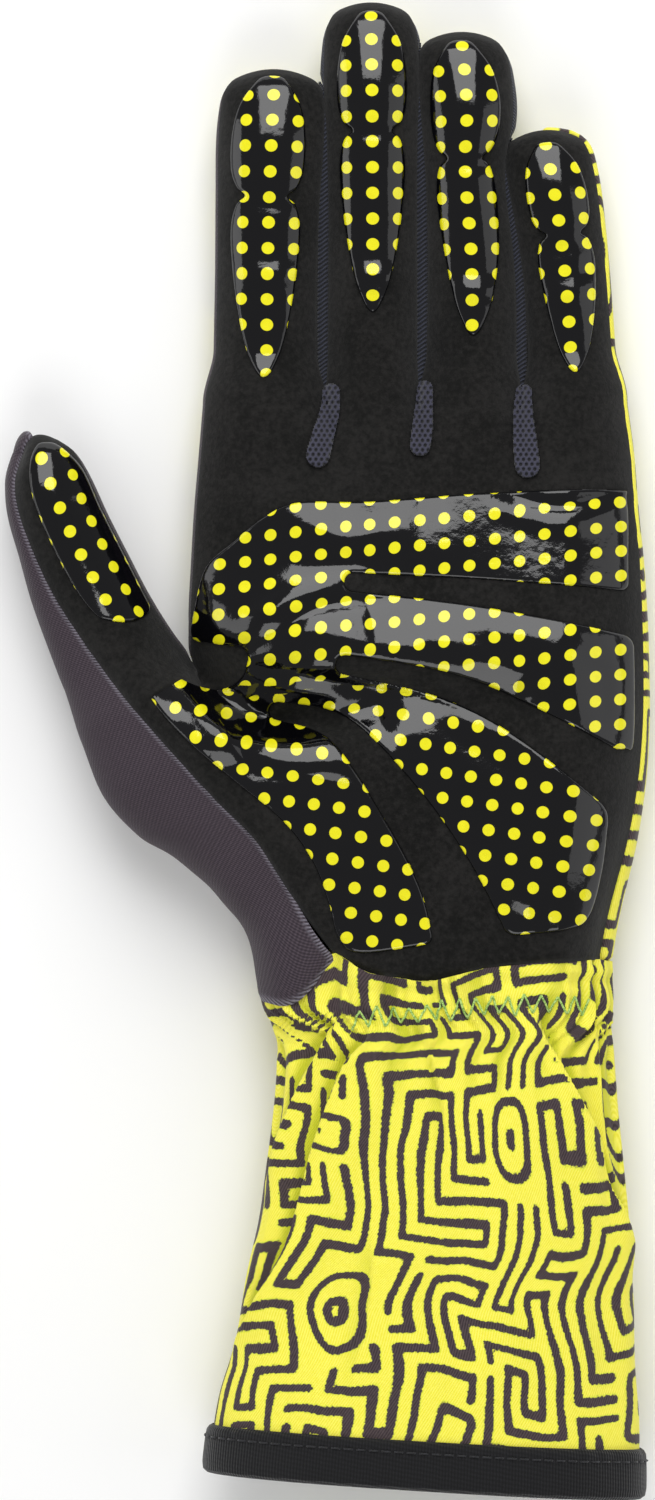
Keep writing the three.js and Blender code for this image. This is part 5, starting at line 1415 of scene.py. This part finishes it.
def pleated(grid, u):
    """Lays the pleats and gathers into the cuff, and shifts its print where cloth is folded away.

    Returns the cuff's points, the print's place round it and how deep each point lies in a fold; the last darkens the
    cloth's colour there as painted shade.
    """
    normals = grid_normals(grid)
    x, y, z = np.moveaxis(grid, -1, 0)
    facing = ease((normals[..., 2] - 0.05) / 0.35)
    shifted = ease((normals[..., 2] + 0.85) / 1.3)
    height = np.zeros_like(x)
    for places, on_top, high, taken in PLEATS:
        line = smooth_line(spots(places))
        line = line[np.argsort(line[:, 1])]
        low_y, high_y = line[0, 1], line[-1, 1]
        reach = ease((high_y + 3 - y) / 8) * ease((y - low_y + 4) / 16)
        off = (x - np.interp(y, line[:, 1], line[:, 0])) * on_top
        over = np.exp(-np.maximum(off, 0) / PLEAT_OVER)
        below = np.exp(-np.maximum(-off, 0) / PLEAT_BELOW)
        side = 0.5 + 0.5 * np.tanh(off / PLEAT_STEP)
        height += high * reach * facing * (side * over - (1 - side) * 0.75 * below)
        u = u - on_top * taken * reach * shifted * (side - 0.5)
    deep = WRIST_Y + 2 - y
    bare = 1 - np.exp(-(((x - OVERLAP_X) / 9) ** 2)) * facing * ease((12 - deep) / 6)
    pull = ease(1 - np.abs(deep - 11) / 22) * (0.35 + 0.65 * facing) * bare
    seam = np.exp(-(((deep - 10.5) / 5) ** 2)) * facing * bare
    loose = ease(1 - np.abs(deep - 3.5) / 6.5) * facing * bare
    body = ease((deep - 12) / 20) * (1 - 0.7 * ease((deep - 78) / 16))
    # Waves of cloth: height, where they stand, and the noise's coordinates round the cuff, along it and its layer
    for high, share, across, down, row in (
            (1.7, pull, u / 3.4, deep / 40, 2.0), (0.9, pull, u / 1.8, deep / 22, 6.0),
            (0.75, seam, u / 1.5, deep / 11, 11.0), (0.8, loose, u / 22, deep / 2.3, 4.0),
            (0.9, body, u / 26 + deep / 90, deep / 34, 9.0), (0.35, body, u / 9, deep / 26, 12.0)):
        height += high * share * noise(across, down, row)
    height *= ease(z / 2.5)
    # Painted shade: how far each point sinks below the mean height of its neighbours round the cuff, for darkening its
    # colour
    near = sum(np.roll(height, k, axis=1) for k in range(-7, 8)) / 15
    grid = grid + normals * height[..., None]
    grid[..., 2] = np.maximum(grid[..., 2], 0.02)
    return grid, u, np.clip((near - height) / 0.9, 0, 1)


def cuff_sheet(grid, u, shade):
    """The cuff's outer side with its print, closed round the wrist."""
    grid, u, shade = looped(grid), looped(u), looped(shade)
    v = cuff_at[:, None] * CUFF_LENGTH + 0 * u
    maze = MAZE.distance(u + 40, v + 190)
    # The cloth hidden in a fold is left plain, or its lines would be squeezed into the fold's wall.
    squeezed = np.abs(np.diff(u, axis=1)) > 2.4 * np.linalg.norm(np.diff(grid, axis=1), axis=2) + 0.5
    plain = np.pad(squeezed, ((0, 0), (0, 1))) | np.pad(squeezed, ((0, 0), (1, 0)))
    maze[plain] = np.maximum(maze[plain], PLAIN)
    return weld([grid[::-1]], cloth=[flat_values(u, v)[::-1]], print=[maze[::-1]], shade=[shade[::-1]])


cuff_grid, *cuff_looks = pleated(smooth_cuff, (1 - column_share) * hem_round + 0 * smooth_cuff[..., 0])
cuff = cuff_sheet(cuff_grid, *cuff_looks)
cuff_body = shell(cuff, 0, -PRINTED_THICK)
inner = slice(len(cuff.points), None)
# The inner side is left plain and dulled through the same value that paints shade in the cuff's folds
cuff_body.values["print"][inner] = 9
cuff_body.values["shade"][inner] = 0.9
piece("cuff_cloth", cuff_body, PRINTED, ["cuff"])


# Hem tape folded round the cuff's edge

TAPE_START = int(round((1 - BINDING_WIDTH / CUFF_LENGTH) * CUFF_ROWS))
# The tape's section: share of its width, height over the cuff's cloth and millimetres past the cuff's edge
TAPE_OUTLINE = [
    (0.0, 0.35, -0.5), (0.02, 0.95, -0.25), (0.08, 1.35, 0.0), (0.25, 1.45, 0), (0.5, 1.5, 0), (0.75, 1.5, 0),
    (0.92, 1.45, 0), (1.0, 1.15, 0.75), (1.0, 0.3, 1.35), (1.0, -0.45, 1.45), (1.0, -1.2, 1.35), (1.0, -2.0, 0.75),
    (0.92, -2.3, 0), (0.5, -2.35, 0), (0.1, -2.3, 0), (0.0, -1.9, 0), (0.02, -1.1, 0), (0.5, -1.1, 0),
    (0.98, -1.1, 0.15), (1.0, -0.45, 0.3), (0.98, 0.2, 0.15), (0.5, 0.2, 0),
]
STITCH_PITCH, STITCH_ROW, STITCH_LIFT = 2.5, 0.24, 1.47
cuff_normals = grid_normals(cuff_grid)


def tape_place(share):
    """A ring of the cuff under the tape with its normals, at a share of the tape's width."""
    row = TAPE_START + share * (CUFF_ROWS - TAPE_START)
    i = min(int(row), CUFF_ROWS - 1)
    ring = lerp(cuff_grid[i], cuff_grid[i + 1], row - i)
    return ring, unit(lerp(cuff_normals[i], cuff_normals[i + 1], row - i)), cuff_normals[i]


def hem_tape():
    fuzz = 0.12 * noise(np.arange(CUFF_COLUMNS) / 2.3)
    way = unit(cuff_grid[-1] - cuff_grid[-4])
    grid = []
    for share, out, past in TAPE_OUTLINE:
        ring, n, _ = tape_place(share)
        height = out + fuzz * (0 < share < 0.1)
        point = ring + n * height[:, None] + way * past
        point[:, 2] = np.maximum(point[:, 2], 0.0)
        grid.append(point)
    grid = np.stack(grid + grid[:1])
    cloth = flat_values(column_share * hem_round, lengths(grid))
    tape = weld([looped(grid)], cloth=[looped(cloth)])
    return Sheet(tape.points, tape.tris[:, ::-1], **tape.values)


def tape_stitches():
    """A row of stitches along the tape's upper border."""
    base, _, lift = (looped(v[None])[0] for v in tape_place(STITCH_ROW))
    base = base + lift * STITCH_LIFT
    length = lengths(base)
    arch = 0.16 * np.sin(np.linspace(0, math.pi, 6))[:, None]
    out = []
    for k in range(int(length[-1] / STITCH_PITCH)):
        s = (k + np.linspace(0.14, 0.86, 6)) * STITCH_PITCH
        path, up = (np.column_stack([np.interp(s, length, v[:, d]) for d in range(3)]) for v in (base, lift))
        out.append(tube(path + up * arch, 0.19, 5))
    return together(out)


piece("hem_tape", hem_tape(), TAPE, ["cuff_binding"])


piece("hem_stitches", tape_stitches(), DARK_THREAD, sharp=0)

# Zigzag stitch round the wrist

def tree_of(sheet):
    return BVHTree.FromPolygons([Vector(p) for p in sheet.points], sheet.tris.tolist())


def on_tree(tree, x, y, lift=0.0):
    """The place straight below on a surface, lifted along its normal."""
    hit = tree.ray_cast(Vector((x, y, 60)), Vector((0, 0, -1)))
    return None if hit[0] is None else np.array(hit[0]) + np.array(hit[1]) * lift


ZIGZAG = [(352, 1020), (374, 1016), (410, 1014), (447, 1009), (504, 1004), (540, 1003), (571, 1005), (600, 1008)]
cuff_tree = tree_of(cuff)


def zigzag(pitch=3.3, reach=1.9):
    line = smooth_line(spots(ZIGZAG), 10)
    length = lengths(line)
    corners = []
    for k in range(int(length[-1] / pitch * 2)):
        s = k * pitch / 2
        p = np.array([np.interp(s, length, line[:, d]) for d in range(2)])
        p[1] += reach * (1 if k % 2 else -1) * (1 + 0.25 * noise(k * 0.7, 2.0))
        p[0] += 0.3 * noise(k * 0.9, 7.0)
        corners.append(p)
    out = []
    for a, b in zip(corners[:-1], corners[1:]):
        path = []
        for s in np.linspace(0.02, 0.98, 9):
            p = lerp(a, b, s)
            q = on_tree(cuff_tree, p[0], p[1], 0.12 + 0.1 * math.sin(math.pi * s))
            if q is not None:
                path.append(q)
        if len(path) > 3:
            out.append(tube(path, 0.25, 5))
    return together(out)


piece("wrist_zigzag", zigzag(), GREEN_THREAD, sharp=0)

# Knitted gussets at the roots of the fingers: places on the drawing with half the width in millimetres

suede_tree = tree_of(suede)
GUSSETS = [
    ("gusset_index_middle", [(331, 392, 1.9), (330, 410, 2.1), (322, 440, 2.4), (318, 456, 2.5)]),
    ("gusset_middle_ring", [(425, 388, 1.7), (424, 405, 1.9), (422, 430, 2.2), (420, 446, 2.2)]),
    ("gusset_ring_little", [(524, 392, 1.8), (523, 415, 2.1), (525, 445, 2.5), (527, 466, 2.6)]),
]


KNIT_CELL, KNIT_ROW, KNIT_STEP, KNIT_MARGIN = 1.12, 0.86, 0.2, 3.2


def knit_thread(x, y):
    """From 0 in the holes of the knit to 1 on its threads."""
    row = np.round(y / (KNIT_CELL * KNIT_ROW)).astype(int)
    best = np.full(x.shape, 9.0)
    for r in (row - 1, row, row + 1):
        odd = 0.5 * (r % 2)
        hole_x = (np.round(x / KNIT_CELL - odd) + odd) * KNIT_CELL
        best = np.minimum(best, np.hypot(x - hole_x, (y - r * KNIT_CELL * KNIT_ROW) * 0.92))
    return ease((best - 0.2) / 0.26)


def gusset(name, stations):
    stations = np.array(stations)
    run = smooth_line(np.column_stack([spots(stations[:, :2]), stations[:, 2]]))
    low, high = run[:, :2].min(axis=0) - KNIT_MARGIN, run[:, :2].max(axis=0) + KNIT_MARGIN
    gx, gy = np.meshgrid(np.arange(low[0], high[0], KNIT_STEP), np.arange(low[1], high[1], KNIT_STEP))
    away, _ = run_distance(gx, gy, run)
    thread = knit_thread(gx, gy)
    ids = np.full(gx.shape, -1)
    points, values = [], []
    for i, j in np.argwhere(away <= 0):
        p = on_tree(suede_tree, gx[i, j], gy[i, j])
        if p is not None:
            deep = -away[i, j]
            rise = 0.25 + 1.1 * math.sqrt(1 - (1 - min(deep / 1.9, 1)) ** 2) + 0.42 * thread[i, j]
            ids[i, j] = len(points)
            points.append(p + np.array([0, 0, rise]))
            values.append(thread[i, j] * min(1, deep / 0.3))
    tris = quads(ids)
    whole = (tris >= 0).all(axis=1).reshape(2, -1).all(axis=0)
    used, place = np.unique(tris[np.tile(whole, 2)], return_inverse=True)
    sheet = Sheet(np.array(points)[used], place.reshape(-1, 3), thread=np.array(values)[used])
    straight = np.tile([0.0, 0.0, 1.0], (len(used), 1))
    piece(name + "_knit", shell(sheet, 0, -KNIT_THICK, straight), KNIT, [name], sharp=0)


for name, stations in GUSSETS:
    gusset(name, stations)


# Floor, lights and camera

FLOOR_HALF, FLOOR_DROP = 2, 0.0004  # in metres, as are the lamps and the camera
LAMP_DISTANCE = 1.3
# Lamps above the glove: tilt, azimuth from +Y towards +X, width, height, brightness
LAMPS = [
    ("north", 45, 0, 0.9, 1.25, 4.1),
    ("south", 46, 180, 0.8, 0.8, 2.6),
    ("west", 72, -90, 1.0, 0.5, 1.8),
    ("east", 62, 90, 0.7, 1.0, 0.9),
]
CAMERA_HEIGHT, SENSOR, VIEW_HEIGHT, VIEW_LEVEL = 2.0, 36, 0.3, 0.017


def floor():
    look = Look("pale_floor")
    look.set(Specular_IOR_Level=0.2)
    color = look.mix(look.noise(3, 2.0, 0.5), (0.95, 0.95, 0.95, 1), (0.97, 0.97, 0.97, 1))
    mesh = bpy.data.meshes.new("floor")
    corners = [(x * FLOOR_HALF, y * FLOOR_HALF, -FLOOR_DROP) for x, y in ((-1, -1), (1, -1), (1, 1), (-1, 1))]
    mesh.from_pydata(corners, [], [(0, 1, 2, 3)])
    mesh.materials.append(look.finish(color, 0.9))
    placed("floor", mesh)


def softbox(name, tilt, azimuth, width, height, glow):
    t, a = math.radians(tilt), math.radians(azimuth)
    way = Vector((math.sin(t) * math.sin(a), math.sin(t) * math.cos(a), math.cos(t)))
    data = bpy.data.lights.new(name, "AREA")
    data.shape = "RECTANGLE"
    data.size, data.size_y = width, height
    data.energy = glow * math.pi * width * height
    lamp = placed("softbox_" + name, data)
    lamp.location = way * LAMP_DISTANCE
    lamp.rotation_euler = way.to_track_quat("Z", "Y").to_euler()


floor()
for lamp in LAMPS:
    softbox(*lamp)
scene = bpy.context.scene
scene.world = bpy.data.worlds.new("studio")
scene.world.use_nodes = True
background = scene.world.node_tree.nodes["Background"]
background.inputs["Color"].default_value = (1, 1, 1, 1)
background.inputs["Strength"].default_value = 0.3
scene.view_settings.view_transform = "Standard"

lens = bpy.data.cameras.new("camera")
lens.sensor_fit = "VERTICAL"
lens.sensor_height = SENSOR
lens.lens = SENSOR * (CAMERA_HEIGHT - VIEW_LEVEL) / VIEW_HEIGHT
scene.camera = placed("camera", lens)
scene.camera.location = (0, 0, CAMERA_HEIGHT)
